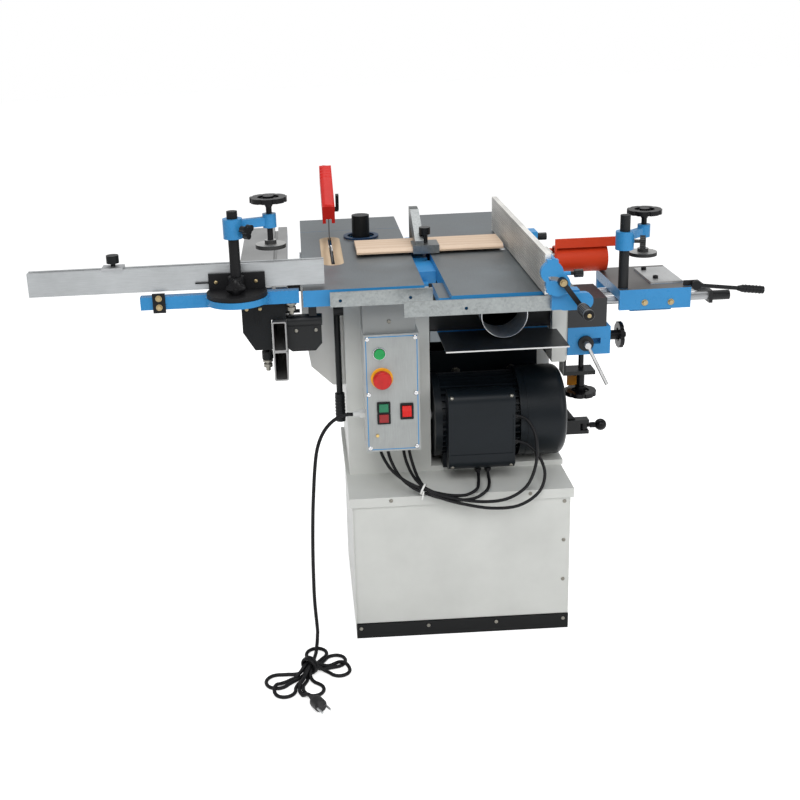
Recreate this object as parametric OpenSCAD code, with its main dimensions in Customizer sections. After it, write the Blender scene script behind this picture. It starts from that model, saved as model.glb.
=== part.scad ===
// Five-function combination woodworking machine: planer, thicknesser, saw, spindle moulder, slot mortiser.
// Millimetres, +Z up, origin on the floor under the middle of the base cabinet. The operator stands at -Y.

/* [Base cabinet] */
// Width of the base cabinet
base_w = 484; // [440:1:520]
// Depth of the base cabinet
base_d = 420; // [400:1:460]
// Height of the base cabinet
base_h = 350; // [320:1:380]
// Thickness of the cabinet sheet
sheet = 3; // [2:0.5:4]
// Height of the lip round the cabinet top
lip_h = 22; // [15:1:30]
// How far the lip stands proud
lip_out = 6; // [3:1:8]
// Width of the floor flange inside the cabinet
floor_flange = 40; // [30:1:50]
// Diameter of the four anchor holes
anchor_d = 12; // [8:1:14]
// Distance of the anchor holes from the cabinet walls
anchor_inset = 24; // [20:1:28]
// Height of the kick strip
kick_h = 36; // [28:1:44]
// Thickness of the kick strip
kick_t = 4; // [3:1:6]
// Thickness of the front panel
panel_t = 2; // [1.5:0.5:3]

/* [Upper frame] */
// Left wall of the frame, from the middle
frame_l = 240; // [236:1:242]
// Right wall of the frame, from the middle
frame_r = 252; // [250:1:256]
// Front of the frame, ahead of the middle
frame_front = 85; // [80:1:95]
// Back of the frame, behind the middle
frame_back = 206; // [200:1:208]
// Wall of the frame
frame_wall = 4; // [3:0.5:6]
// Width of the left pillar
pillar_w = 188; // [180:1:190]
// Width of the right post
post_w = 30; // [26:1:32]
// Height above the floor where the right post steps forward
step_z = 600; // [596:1:606]
// Thickness of the motor shelf
shelf_t = 12; // [8:1:14]

/* [Tables] */
// Height of the table tops above the floor
table_z = 830; // [800:1:860]
// Depth of the table castings
table_t = 35; // [30:1:38]
// Thickness of the table plates
plate_t = 12; // [10:1:16]
// Wall of the casting rims and ribs
rim_t = 8; // [6:1:10]
// Gap between the pillar and the planer tables
bay_gap = 20; // [18:1:21]
// Gap between the planer tables and the right post
post_gap = 4; // [2:1:6]
// Front end of the infeed table, ahead of the middle
infeed_front = 320; // [300:1:330]
// Back end of the outfeed table, behind the middle
outfeed_back = 502; // [480:1:520]
// Opening between the table lips
cutter_gap = 76; // [74:1:84]
// Distance of the blade from the left edge of the saw table
saw_edge = 71; // [66:1:74]
// Width of the saw table
saw_w = 251; // [248:1:252]
// Front edge of the saw table, ahead of the middle
saw_front = 227; // [220:1:235]
// Length of the saw table
saw_len = 577; // [560:1:590]
// Length of the rear extension
extension_len = 150; // [120:1:170]
// Depth of the zinc front rails
rail_h = 31; // [26:1:32]
// Thickness of the zinc front rails
rail_t = 5; // [4:1:6]

/* [Saw] */
// Diameter of the saw blade
blade_d = 250; // [240:1:250]
// Thickness of the saw blade
blade_t = 2.8; // [2:0.2:3.2]
// Number of teeth
blade_teeth = 40; // [24:1:60]
// Distance of the blade from the left wall of the frame
blade_gap = 16; // [15:0.5:17]
// Place of the arbor behind the middle
arbor_y = 130; // [126:1:132]
// How far the blade stands above the table at rest
blade_out = 8; // [4:1:10]
// Diameter of the arbor
arbor_d = 25; // [20:1:30]
// Width of the table insert
insert_w = 49; // [44:1:52]
// Length of the table insert
insert_len = 296; // [290:1:300]
// Distance of the spindle moulder from the blade
spindle_gap = 78; // [74:1:82]
// Place of the spindle moulder, behind the middle
spindle_y = 264; // [262:1:270]
// Diameter of the spindle head
spindle_d = 43; // [38:1:46]
// Diameter of the spindle quill
quill_d = 60; // [54:1:62]

/* [Planer] */
// Diameter of the cutter block body
cutter_d = 72; // [66:1:72]
// How far the knives stand out of the block
knife_out = 1.5; // [1:0.1:1.5]
// Number of knives
knives = 3; // [2:1:4]
// Diameter of the feed rollers
roller_d = 40; // [36:1:42]
// Diameter of the feed roller journals
journal_d = 16; // [14:1:18]
// Height of the thickness bed top above the floor
bed_z = 680; // [678:1:684]
// Length of the thickness bed
bed_len = 315; // [300:1:320]
// Diameter of the bed column
column_d = 36; // [32:1:40]
// Outside diameter of the dust spigot
spigot_d = 100; // [98:1:102]
// Length of the fence
fence_len = 618; // [560:1:640]
// Height of the fence plate
fence_h = 82; // [76:1:90]
// Thickness of the fence plate
fence_t = 12; // [10:1:14]
// Working face of the fence at rest
fence_x = 145; // [142:1:150]
// Length of the bridge guard
guard_len = 336; // [326:1:338]
// Width of the bridge guard
guard_w = 118; // [100:1:120]
// Thickness of the bridge guard
guard_t = 10; // [8:1:11]

/* [Motor] */
// Diameter over the cooling fins
motor_d = 192; // [180:1:196]
// Diameter of the fan cowl
cowl_d = 208; // [200:1:212]
// Gap between the motor and the pillar
motor_gap = 6; // [4:1:8]
// Length of the fan cowl
cowl_len = 90; // [84:1:91]
// Diameter of the motor shaft
shaft_d = 24; // [19:1:28]
// Number of cooling fins
fins = 36; // [24:4:48]

/* [Control box] */
// Width of the control box
box_w = 118; // [112:1:124]
// Height of the control box
box_h = 267; // [262:1:272]
// Depth of the control box
box_d = 105; // [95:1:110]
// Thickness of the control panel
face_t = 2; // [1.5:0.5:3]
// Left side of the control box
box_x = -204; // [-206:1:-200]
// Bottom of the control box
box_z = 450; // [446:1:454]

/* [Sliding carriage] */
// Width of one rail tube
tube_w = 30; // [28:1:32]
// Height of one rail tube
tube_h = 65; // [60:1:66]
// Wall of the rail tubes
tube_wall = 3; // [2:0.5:4]
// Length of the rail tubes
tube_len = 690; // [680:1:720]
// Width of the carriage table
slide_w = 107; // [100:1:110]
// Length of the carriage table
slide_len = 616; // [600:1:620]
// Length of the crosscut fence
cross_len = 608; // [560:1:620]
// Height of the crosscut fence
cross_h = 50; // [44:1:54]
// Thickness of the crosscut fence
cross_t = 25; // [20:1:26]
// Radius of the mitre plate
mitre_r = 62; // [58:1:64]

/* [Hold-down clamps] */
// Diameter of the clamp posts
post_d = 22; // [18:1:24]
// Height of the clamp posts
post_h = 164; // [155:1:175]
// Diameter of the clamp screws
screw_d = 12; // [10:1:14]
// Reach of the clamp arms
arm_reach = 78; // [74:1:84]
// Diameter of the clamp handwheels
wheel_d = 76; // [70:1:80]
// Diameter of the clamp pads
pad_d = 62; // [56:1:66]

/* [Mortiser] */
// Top of the mortise table above the floor
mortise_z = 760; // [758:1:762]
// Width of the mortise table
mortise_w = 158; // [150:1:164]
// Depth of the mortise table
mortise_d = 206; // [200:1:210]
// Diameter of the slide rods
rod_d = 18; // [16:1:20]
// Diameter of the lift screw
lift_screw_d = 12; // [10:1:14]
// Diameter of the lift handwheel
lift_wheel_d = 72; // [66:1:76]

/* [Hidden] */
$fn = 48;
// Running clearance round shafts, gap between faces of different bodies, and cutting overlap
run = 0.06;
gap = 0.3;
cut = 1;

// Heights and edges worked out from the driving dimensions
table_low = table_z - table_t;
blade_x = -frame_l - blade_gap;
spindle_x = blade_x + spindle_gap;
saw_x = blade_x - saw_edge;
planer_x = -frame_l + pillar_w + bay_gap;
planer_r = frame_r - post_w - post_gap;
planer_w = planer_r - planer_x;
cutter_y = (outfeed_back - infeed_front) / 2;
cutter_z = table_z - cutter_d / 2 - knife_out + 0.5;
arbor_z = table_z + blade_out - blade_d / 2;
pillar_r = -frame_l + pillar_w;
post_x = frame_r - post_w;
shelf_z = base_h + shelf_t;
motor_y = -40;
motor_z = shelf_z + cowl_d / 2 + 6;
motor_x = pillar_r + motor_gap;
motor_len = frame_r - 2 - cowl_len - motor_x;
mount_t = 6;
term_x = motor_x + 24;
term_w = motor_len - 59;
term_z = shelf_z + 20;
term_h = 184;
term_d = 40;
term_r = 24;
cowl_x = motor_x + motor_len;
box_front = -frame_front - box_d;
panel_y = box_front - face_t;
saw_back = saw_len - saw_front;
saw_r = saw_x + saw_w;
seam = 1;

// Drive: pulleys, belts and cutter shaft
pulley_x = pillar_r - 76;
pulley_w = 34;
cutter_pulley_d = 44;
motor_pulley_d = 64;
cutter_shaft_d = 30;
belt_w = 8;
belt_t = 6;
groove_h = 5;
groove_xs = [pulley_x + 9, pulley_x + 23];

// Guide rods of the saw lift
guide_x = blade_x + 66;
guide_ys = [arbor_y - 22, arbor_y + 22];
guide_d = 14;

// Pivots on the frame: saw lift lever and ball lever
lever_y = -64;
lever_z = table_low - 50;
lever_pin_d = 12;
fork_x = frame_r + 92;
fork_y = 96;
fork_z = base_h + 20;
fork_pin_d = 8;

// Sliding carriage: tubes, outrigger bar, mitre plate and crosscut fence
tube_x = saw_x - 68;
tube_y = -210;
tube_top = table_z - 69;
slide_x = saw_x - 140;
slide_y = -186;
slide_t = 30;
bar_y = -220;
bar_t = 20;
bar_low = table_z - 27;
bar_top = table_z;
bar_x = saw_x - 335;
bar_len = 327;
mitre_x = saw_x - 134;
mitre_y = -236;
mitre_t = 9;
plate_low = bar_top + gap;
cross_z = plate_low + mitre_t + gap;
cross_y = -212;
cross_x = saw_x - 562;
stop_x = saw_x - 386;

// Mortiser: block on the right wall, rods and table
block_x = frame_r + 6 + gap;
block_w = 86;
block_y = -80;
block_len = 125;
block_low = mortise_z - 84;
block_top = mortise_z - 18;
rod_z = mortise_z - 34;
rod_ys = [-45, 25];
rod_x = frame_r + 38;
rod_len = 290;
mortise_x = frame_r + 117;
mortise_y = -90;
lift_x = frame_r + 45;
yoke_z = step_z - 39;
yoke_t = 9;
lift_wheel_z = step_z - 92;
saddle_x = mortise_x + 31;
saddle_w = 92;
lift_y = -50;

// Tilt slot of the fence quadrant: radius, start angle and sweep
slot_r = 34;
socket_y = frame_back - 30;
guard_back = socket_y - 12;
slot_from = 56;
tilt_max = 45;

// Box between two corners
module slab(a, b) {
    translate(a) cube(b - a);
}

// Round bars along the three axes, from a start point
module bar_x_dir(at, len, d) {
    translate(at) rotate([0, 90, 0]) cylinder(d = d, h = len);
}
module bar_y_dir(at, len, d) {
    translate(at) rotate([-90, 0, 0]) cylinder(d = d, h = len);
}
module bar_z_dir(at, len, d) {
    translate(at) cylinder(d = d, h = len);
}

// Flat outline with round corners, from its low corner
module round_rect(size, r) {
    translate([r, 0]) square([size.x - 2 * r, size.y]);
    translate([0, r]) square([size.x, size.y - 2 * r]);
    for (x = [r, size.x - r], y = [r, size.y - r]) translate([x, y]) circle(r);
}

// Outline drawn in X and Z, given a depth along +Y from y0
module xz_extrude(y0, depth) {
    translate([0, y0 + depth, 0]) rotate([90, 0, 0]) linear_extrude(depth) children();
}

// Outline drawn in Y and Z, given a depth along +X from x0
module yz_extrude(x0, depth) {
    translate([x0, 0, 0]) rotate([90, 0, 90]) linear_extrude(depth) children();
}

// Lobed handwheel lying flat: rim with finger hollows, three spokes, hub and bore
module handwheel(d, rim, hub_d, hub_h, bore, lobes = 8) {
    hollow_d = d / 7;
    difference() {
        union() {
            linear_extrude(rim) difference() {
                circle(d = d);
                for (i = [0:lobes - 1]) rotate(i * 360 / lobes) translate([d / 2 + hollow_d / 4, 0])
                    circle(d = hollow_d);
                circle(d = d - 3.2 * rim);
            }
            linear_extrude(rim * 0.7) for (i = [0:2]) rotate(i * 120)
                translate([0, -rim / 2]) square([d / 2 - rim, rim]);
            cylinder(d = hub_d, h = hub_h);
        }
        translate([0, 0, -cut]) cylinder(d = bore, h = hub_h + 2 * cut);
    }
}

// Cast table: machined plate, rim and cross ribs underneath, with a wide bay under its cutter side
module casting(x0, y0, w, l, t, ribs) {
    slab([x0, y0, table_z - plate_t], [x0 + w, y0 + l, table_z]);
    difference() {
        slab([x0, y0, table_z - t], [x0 + w, y0 + l, table_z - plate_t]);
        slab([x0 + rim_t, y0 + rim_t, table_z - t - cut], [x0 + w - rim_t, y0 + l - rim_t, table_z]);
    }
    for (i = [1:ribs]) {
        y = y0 + i * l / (ribs + 1);
        slab([x0, y - rim_t / 2, table_z - t + 4], [x0 + w, y + rim_t / 2, table_z - plate_t]);
    }
}

// Base cabinet: open sheet box with a proud lip, floor flange and front service opening
module base_cabinet() {
    w = base_w / 2;
    d = base_d / 2;
    color("ghostwhite") difference() {
        union() {
            slab([-w, -d, 0], [w, d, base_h]);
            slab([-w - lip_out, -d - lip_out, base_h - lip_h], [w + lip_out, d + lip_out, base_h]);
        }
        slab([-w + sheet, -d + sheet, sheet], [w - sheet, d - sheet, base_h - sheet]);
        slab([-w + floor_flange, -d + floor_flange, -cut], [w - floor_flange, d - floor_flange, sheet + cut]);
        slab([-w + 30, -d - cut, kick_h + 20], [w - 30, -d + sheet + cut, base_h - lip_h - 20]);
        for (x = [-1, 1], y = [-1, 1])
            bar_z_dir([x * (w - anchor_inset), y * (d - anchor_inset), -cut], sheet + 2 * cut, anchor_d);
        // Cable and belt opening under the pillar
        slab([-180, 20, base_h - sheet - cut], [-100, 100, base_h + cut]);
    }
}

// Front panel above the kick strip, with the strip as a second sheet
module front_panel() {
    w = base_w / 2;
    y = -base_d / 2;
    color("ghostwhite") slab([-w + 4, y - panel_t, kick_h + 2], [w - 4, y, base_h - lip_h - 1]);
    color("black") slab([-w, y - kick_t, 0], [w, y, kick_h]);
}

// Welded frame: hollow left pillar, right post, back wall, motor shelf, bed column sleeve and guard socket
module upper_frame() {
    back = frame_back;
    front = -frame_front;
    inner_w = pillar_w - 2 * frame_wall;
    slot_low = arbor_z - 70;
    column_y = cutter_y + 70;
    ledge_t = 10;
    color("ghostwhite") difference() {
        union() {
            slab([-frame_l, front, base_h], [pillar_r, back, table_low]);
            slab([pillar_r, back - frame_wall, base_h], [frame_r, back, table_low]);
            slab([post_x, front, step_z], [frame_r, back, table_low]);
            slab([post_x, 78, base_h], [frame_r, back, step_z]);
            slab([pillar_r, front, base_h], [frame_r, 78, shelf_z]);
            slab([pillar_r, 78, base_h], [frame_r, back, base_h + 8]);
            slab([frame_r, front + 8, step_z], [frame_r + 6, back, table_low - 20]);
            bar_z_dir([planer_x + planer_w / 2, column_y, base_h], 230, column_d + 16);
            slab([pillar_r - 24, socket_y - 9, table_low - 35], [pillar_r + 18, socket_y + 30, table_z + 6]);
            // Ledges under the outfeed table, guide cheeks of the infeed table and cutter bearing blocks
            slab([pillar_r, 130, table_low - ledge_t], [planer_x + 16, back, table_low]);
            slab([planer_r - 16, 175, table_low - ledge_t], [post_x, back, table_low]);
            slab([pillar_r - 20, -60, table_low - 6], [planer_x - gap, 45, table_z - 14]);
            slab([planer_r + gap, -60, table_low - 6], [planer_r + gap + 14, 45, table_z - 14]);
            slab([pillar_r - 20, cutter_y - 28, table_low - 25],
                [pillar_r + 14, cutter_y + 28, table_z - plate_t]);
            slab([post_x, cutter_y - 28, table_low - 25], [frame_r, cutter_y + 28, table_z - plate_t]);
            // Pivot pin of the saw lift lever, and the fork with the pin of the ball lever
            bar_x_dir([-frame_l - 14, lever_y, lever_z], 16, lever_pin_d);
            difference() {
                slab([frame_r, fork_y - 12, fork_z - 18], [fork_x + 11, fork_y + 12, fork_z + 18]);
                slab([fork_x - 10 - gap, fork_y - 13, fork_z - 9 - gap],
                    [fork_x + 12, fork_y + 13, fork_z + 9 + gap]);
            }
            xz_extrude(fork_y - 5, 10) polygon([[frame_r, fork_z], [frame_r, fork_z + 108],
                [frame_r + 4, fork_z + 108], [frame_r + 71, fork_z + 18], [frame_r + 71, fork_z]]);
            bar_z_dir([fork_x, fork_y, fork_z - 18], 36, fork_pin_d);
            // Yoke that carries the lift screw of the mortiser
            slab([frame_r, lift_y - 22, yoke_z], [lift_x + 28, lift_y + 22, yoke_z + yoke_t]);
            slab([frame_r, lift_y - 22, yoke_z + yoke_t], [frame_r + 6, lift_y + 22, step_z]);
        }
        slab([-frame_l + frame_wall, front + frame_wall, base_h - cut],
            [pillar_r - frame_wall, back - frame_wall, table_low - 40]);
        slab([-frame_l - cut, 60, slot_low], [-frame_l + frame_wall + cut, 200, table_low + cut]);
        slab([-frame_l + frame_wall, 30, table_low - 45], [pillar_r - 28, 200, table_low + cut]);
        bar_z_dir([planer_x + planer_w / 2, column_y, base_h - cut], 240, column_d + 2 * run);
        // Bearing bores for cutter block, feed rollers and motor shaft
        bar_x_dir([pulley_x - 12, cutter_y, cutter_z], frame_r + 70 - pulley_x, cutter_shaft_d + 2 * run);
        for (y = [-1, 1]) bar_x_dir([pillar_r - 38, cutter_y + y * 60, cutter_z - 31],
            frame_r + 58 - pillar_r,
            journal_d + 2 * run);
        bar_x_dir([pillar_r - 48, motor_y, motor_z], 60, 60);
        translate([pillar_r - 14, socket_y, table_low - 45]) cube([20 + 2 * gap, 20 + 2 * gap, 90]);
        bar_z_dir([lift_x, lift_y, yoke_z - 10], 40, lift_screw_d + 2 * run);
    }
    // Guide rods of the saw lift, inside the pillar, on their foot
    color("silver") slab([-frame_l + 1, guide_ys[0] - 14, base_h],
        [guide_x + 14, guide_ys[1] + 14, base_h + 10]);
    color("silver") for (y = guide_ys) bar_z_dir([guide_x, y, base_h], table_low - 1 - base_h, guide_d);
}

// Saw dust hopper: tapered sheet funnel outside the pillar, open towards the blade
module saw_hopper() {
    edge = saw_x - 5;
    low = table_low - 250;
    outer = [[-frame_l - gap, table_low], [edge, table_low], [edge, low + 161], [edge + 16, low + 47],
        [-frame_l - 28, low], [-frame_l - gap, low]];
    inner = [[-frame_l + cut, table_low + cut], [edge + 3, table_low + cut], [edge + 3, low + 161],
        [edge + 19, low + 49], [-frame_l - 27, low + 3], [-frame_l + cut, low + 3]];
    color("whitesmoke") difference() {
        xz_extrude(-8, 290) polygon(outer);
        xz_extrude(-5, 284) polygon(inner);
    }
}

// Saw table with its rear extension, recess for the insert and housing for the spindle quill
module saw_table() {
    housing_d = quill_d + 30;
    color("slategray") difference() {
        union() {
            casting(saw_x, -saw_front, saw_w, saw_len, table_t, 3);
            bar_z_dir([spindle_x, spindle_y, table_low - 110], 110 + table_t - plate_t, housing_d);
        }
        insert_recess(gap);
        bar_z_dir([spindle_x, spindle_y, table_low - 120], 200, quill_d + 2 * run);
        bar_z_dir([spindle_x, spindle_y, table_z - plate_t - cut], plate_t + 2 * cut, 75);
        // Bay that the blade, guard arm and riving knife pass through
        slab([blade_x - 26, -15, table_low - cut], [blade_x + 26, 290, table_z - plate_t]);
        // Way for the cutter shaft through the rim
        bar_x_dir([saw_r - rim_t - cut, cutter_y, cutter_z], rim_t + 2 * cut, cutter_shaft_d + 4);
    }
    color("slategray") {
        casting(saw_x, saw_back + seam, saw_w, extension_len, table_t, 1);
        // Straps across the seam
        for (x = [saw_x + 30, saw_r - 70]) slab([x, saw_back - rim_t, table_low + 2],
            [x + 40, saw_back + seam + rim_t, table_low + 14]);
    }
}

module insert_outline(grow) {
    w = insert_w + 2 * grow;
    l = insert_len + 2 * grow;
    translate([blade_x - w / 2, arbor_y - l / 2]) round_rect([w, l], w / 2 - 0.5);
}

module insert_recess(grow) {
    translate([0, 0, table_z - 6]) linear_extrude(6 + cut) insert_outline(grow);
    translate([0, 0, table_z - plate_t - cut]) linear_extrude(plate_t + 2 * cut) insert_opening();
}

// Opening under the insert that leaves a ledge for it
module insert_opening() {
    translate([blade_x - insert_w / 2 + 5, arbor_y - insert_len / 2 + 5])
        round_rect([insert_w - 10, insert_len - 10], 12);
}

// Plywood insert with the blade slot, and the ring round the spindle
module table_insert() {
    color("burlywood") difference() {
        translate([0, 0, table_z - 6]) linear_extrude(6) insert_outline(0);
        slab([blade_x - 4, arbor_y - 138, table_z - 10], [blade_x + 4, arbor_y + 142, table_z + cut]);
    }
    color("darkslategray") translate([spindle_x, spindle_y, table_z]) difference() {
        cylinder(d = 86, h = 5);
        translate([0, 0, -cut]) cylinder(d = 66, h = 10);
    }
}

// Zinc angle along the front of the saw table
module saw_rail() {
    y = -saw_front;
    color("silver") difference() {
        union() {
            slab([saw_x + 55, y - 18, table_z - 2 - rail_h], [saw_r + 15, y - 18 + rail_t, table_z - 2]);
            slab([saw_x + 55, y - 18, table_z - 2 - rail_h], [saw_r + 15, y, table_z - 2 - rail_h + rail_t]);
        }
        for (x = [saw_x + 76, saw_r - 31]) bar_y_dir([x, y - 30, table_z - 20], 30, 7);
    }
}

// Fixed outfeed table
module outfeed_table() {
    y = cutter_y + cutter_gap / 2;
    color("slategray") difference() {
        casting(planer_x, y, planer_w, outfeed_back - y, table_t, 2);
        bar_x_dir([planer_x - cut, cutter_y, cutter_z], planer_w + 2 * cut, cutter_d + 12);
    }
}

// Infeed table with the zinc fence rail on its front edge
module infeed_table() {
    y = cutter_y - cutter_gap / 2;
    rail_x = planer_x - 97;
    rail_y = -infeed_front - 18;
    rail_z = table_z - 4 - rail_h;
    color("slategray") difference() {
        union() {
            casting(planer_x, -infeed_front, planer_w, y + infeed_front, table_t - gap, 2);
            // Arm towards the saw table
            slab([planer_x - 22, -infeed_front + 30, table_z - 30],
                [planer_x, -infeed_front + 150, table_z - 12]);
        }
        bar_x_dir([planer_x - cut, cutter_y, cutter_z], planer_w + 2 * cut, cutter_d + 12);
    }
    color("silver") difference() {
        union() {
            slab([rail_x, rail_y, rail_z], [frame_r - 14, rail_y + rail_t, rail_z + rail_h]);
            slab([rail_x, rail_y, rail_z], [frame_r - 14, -infeed_front, rail_z + rail_t]);
        }
        bar_y_dir([planer_x + 26, -infeed_front - 30, table_z - 22], 30, 7);
    }
}

// Cutter block: grooved body, knives, journals, belt pulley and mortise chuck
module cutter_block() {
    body_x = planer_x + 4;
    body_w = planer_w - 8;
    color("dimgray") difference() {
        union() {
            bar_x_dir([body_x, cutter_y, cutter_z], body_w, cutter_d);
            bar_x_dir([pulley_x - 2, cutter_y, cutter_z], frame_r + 20 - pulley_x, cutter_shaft_d);
            bar_x_dir([pulley_x, cutter_y, cutter_z], pulley_w, cutter_pulley_d);
            bar_x_dir([frame_r + 14, cutter_y, cutter_z], 80, 40);
        }
        for (i = [0:knives - 1]) translate([0, cutter_y, cutter_z]) rotate([i * 360 / knives, 0, 0])
            slab([body_x - cut, -7, cutter_d / 2 - 8], [body_x + body_w + cut, 5, cutter_d / 2 + cut]);
        bar_x_dir([frame_r + 60, cutter_y, cutter_z], 40, 16);
        for (x = groove_xs) translate([x, cutter_y, cutter_z]) rotate([0, 90,
            0]) belt_groove(cutter_pulley_d);
    }
    color("silver") for (i = [0:knives - 1]) translate([0, cutter_y, cutter_z]) rotate([i * 360 / knives,
        0, 0])
        slab([body_x, 1, cutter_d / 2 - 8], [body_x + body_w, 4, cutter_d / 2 + knife_out]);
}

// Ring cut into a pulley rim of diameter d for one belt
module belt_groove(d) {
    rotate_extrude() translate([d / 2 - groove_h, -belt_w / 2 - gap]) square([groove_h + cut,
        belt_w + 2 * gap]);
}

// Serrated feed roller with its journals
module feed_roller(y) {
    color("dimgray") {
        yz_extrude(planer_x, planer_w - 4) translate([y, cutter_z - 31]) {
            difference() {
                circle(d = roller_d);
                for (i = [0:23]) rotate(i * 15) translate([roller_d / 2, 0]) circle(d = 2.4, $fn = 4);
            }
        }
        bar_x_dir([pillar_r - 20, y, cutter_z - 31], post_x - pillar_r + 36, journal_d);
    }
}
module infeed_roller() feed_roller(cutter_y - 60);
module outfeed_roller() feed_roller(cutter_y + 60);

// Thickness bed with rim, column and the sheet extension at its front
module thickness_bed() {
    x0 = pillar_r + 4;
    x1 = post_x - 4;
    y0 = cutter_y - bed_len / 2;
    color("slategray") {
        slab([x0, y0, bed_z - 12], [x1, y0 + bed_len - 50, bed_z]);
        difference() {
            slab([x0, y0, bed_z - 25], [x1, y0 + bed_len - 50, bed_z - 12]);
            slab([x0 + 8, y0 + 8, bed_z - 26], [x1 - 8, y0 + bed_len - 58, bed_z - 11]);
        }
        bar_z_dir([planer_x + planer_w / 2, cutter_y + 70, bed_z - 250], 240, column_d);
    }
    color("black") translate([0, 0, bed_z - 3]) linear_extrude(3) polygon([[planer_x, y0 - 152],
        [planer_r + 12, y0 - 152], [planer_r + 12, -frame_front - 6], [planer_r - 4, -frame_front - 6],
        [planer_r - 4, y0], [planer_x, y0]]);
}

// Chip hood over the bed, with the round dust spigot at the front
module chip_hood() {
    y1 = cutter_y + 30;
    spigot_x = planer_x + 136;
    spigot_z = bed_z + 0.5 + spigot_d / 2 + 3;
    top = cutter_z - cutter_d / 2 - 16;
    color("black") difference() {
        union() {
            slab([pillar_r, -62, bed_z + 0.5], [post_x, y1, top - 24]);
            slab([pillar_r, -62, bed_z + 0.5], [post_x, 4, table_low - 7]);
        }
        slab([pillar_r + 2, -60, bed_z + 2.5], [post_x - 2, y1 + cut, top - 26]);
        slab([pillar_r + 2, -60, bed_z + 2.5], [post_x - 2, 2, table_low - 9]);
        slab([pillar_r + 20, cutter_y - 20, top - 40], [post_x - 20, y1 + cut, top + 10]);
        bar_y_dir([spigot_x, -80, spigot_z], 60, spigot_d - 3);
    }
    color("silver") difference() {
        bar_y_dir([spigot_x, -150, spigot_z], 88, spigot_d);
        bar_y_dir([spigot_x, -151, spigot_z], 91, spigot_d - 3);
    }
}

// Red cover over the cutter end and the cylinder round the chuck
module chuck_guards() {
    color("red") {
        difference() {
            bar_x_dir([frame_r + 10, cutter_y, cutter_z], 120, 64);
            bar_x_dir([frame_r + 9, cutter_y, cutter_z], 122, 58);
        }
        slab([frame_r + 6, cutter_y - 30, cutter_z + 32], [frame_r + 154, cutter_y - 10, cutter_z + 35]);
        slab([frame_r + 6, cutter_y - 30, cutter_z + 35], [frame_r + 154, cutter_y - 27, cutter_z + 54]);
        slab([frame_r + 6, cutter_y - 30, cutter_z - 20], [frame_r + 10, cutter_y - 20, cutter_z + 35]);
        slab([frame_r + 6, cutter_y + 20, cutter_z - 20], [frame_r + 10, cutter_y + 32, cutter_z + 20]);
    }
}

// Belts from the motor pulley to the cutter pulley, inside the pillar
module drive_belt() {
    r1 = motor_pulley_d / 2 - groove_h + gap;
    r2 = cutter_pulley_d / 2 - groove_h + gap;
    color("black") for (x = groove_xs) yz_extrude(x - belt_w / 2, belt_w) difference() {
        belt_loop(r1 + belt_t, r2 + belt_t);
        belt_loop(r1, r2);
    }
}

// Closed loop round the two pulley centres: two discs and the strip between them
module belt_loop(ra, rb) {
    a = [motor_y, motor_z];
    b = [cutter_y, cutter_z];
    d = norm(b - a);
    t = atan2(b.y - a.y, b.x - a.x);
    translate(a) circle(ra);
    translate(b) circle(rb);
    translate(a) rotate(t) polygon([[0, -ra], [d, -rb], [d, rb], [0, ra]]);
}

// Motor: finned body, ribbed fan cowl and the terminal box on the front
module motor_housing() {
    core = motor_d - 24;
    box_y = motor_y - motor_d / 2 - 36;
    plate_y = motor_y + cowl_d / 2 + 2;
    color("black") difference() {
        union() {
            yz_extrude(motor_x, motor_len) translate([motor_y, motor_z]) {
                circle(d = core);
                for (i = [0:fins - 1]) rotate(i * 360 / fins) translate([core / 2 - 2, -1.6]) square([13,
                    3.2]);
            }
            bar_x_dir([motor_x, motor_y, motor_z], 16, motor_d);
            bar_x_dir([cowl_x - 16, motor_y, motor_z], 16, cowl_d - 2);
            for (x = [20, motor_len - 60], y = [-40, 40]) slab([motor_x + x, motor_y + y - 16, shelf_z],
                [motor_x + x + 40, motor_y + y + 16, motor_z - 60]);
        }
        bar_x_dir([motor_x + 20, motor_y, motor_z], motor_len - 40, 70);
        bar_x_dir([motor_x - cut, motor_y, motor_z], motor_len + 2 * cut, shaft_d + 2 * run);
    }
    color("black") translate([cowl_x, motor_y, motor_z]) rotate([0, 90, 0]) rotate_extrude() difference() {
        r = cowl_d / 2;
        union() {
            square([r, cowl_len - 18]);
            square([r - 18, cowl_len]);
            translate([r - 18, cowl_len - 18]) circle(18);
        }
        translate([-cut, -cut]) square([r - 3, cowl_len - 17]);
    }
    color("black") difference() {
        yz_extrude(term_x, term_w) {
            translate([box_y + term_r, term_z]) square([term_d - term_r, term_h]);
            translate([box_y, term_z + term_r]) square([term_r + cut, term_h - 2 * term_r]);
            for (z = [term_r, term_h - term_r]) translate([box_y + term_r, term_z + z]) circle(term_r);
        }
        slab([term_x + 4, box_y - cut, term_z + 40],
            [term_x + term_w - 4, box_y + 1.5, term_z + term_h - 52]);
    }
    // Mounting plate behind the motor, with two pads
    color("black") {
        slab([pillar_r + 2, plate_y, shelf_z], [post_x - 2, plate_y + mount_t, bed_z - 90]);
        for (x = [30, motor_len - 70]) slab([motor_x + x, motor_y + motor_d / 2 - 26, motor_z - 30],
            [motor_x + x + 40, plate_y + cut, motor_z + 30]);
    }
}

// Motor shaft with the drive pulley
module motor_rotor() {
    color("dimgray") difference() {
        union() {
            bar_x_dir([pulley_x - 4, motor_y, motor_z], motor_len + 90, shaft_d);
            bar_x_dir([pulley_x, motor_y, motor_z], pulley_w, motor_pulley_d);
            bar_x_dir([motor_x + 30, motor_y, motor_z], motor_len - 60, 66);
        }
        for (x = groove_xs) translate([x, motor_y, motor_z]) rotate([0, 90, 0]) belt_groove(motor_pulley_d);
    }
}

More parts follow.
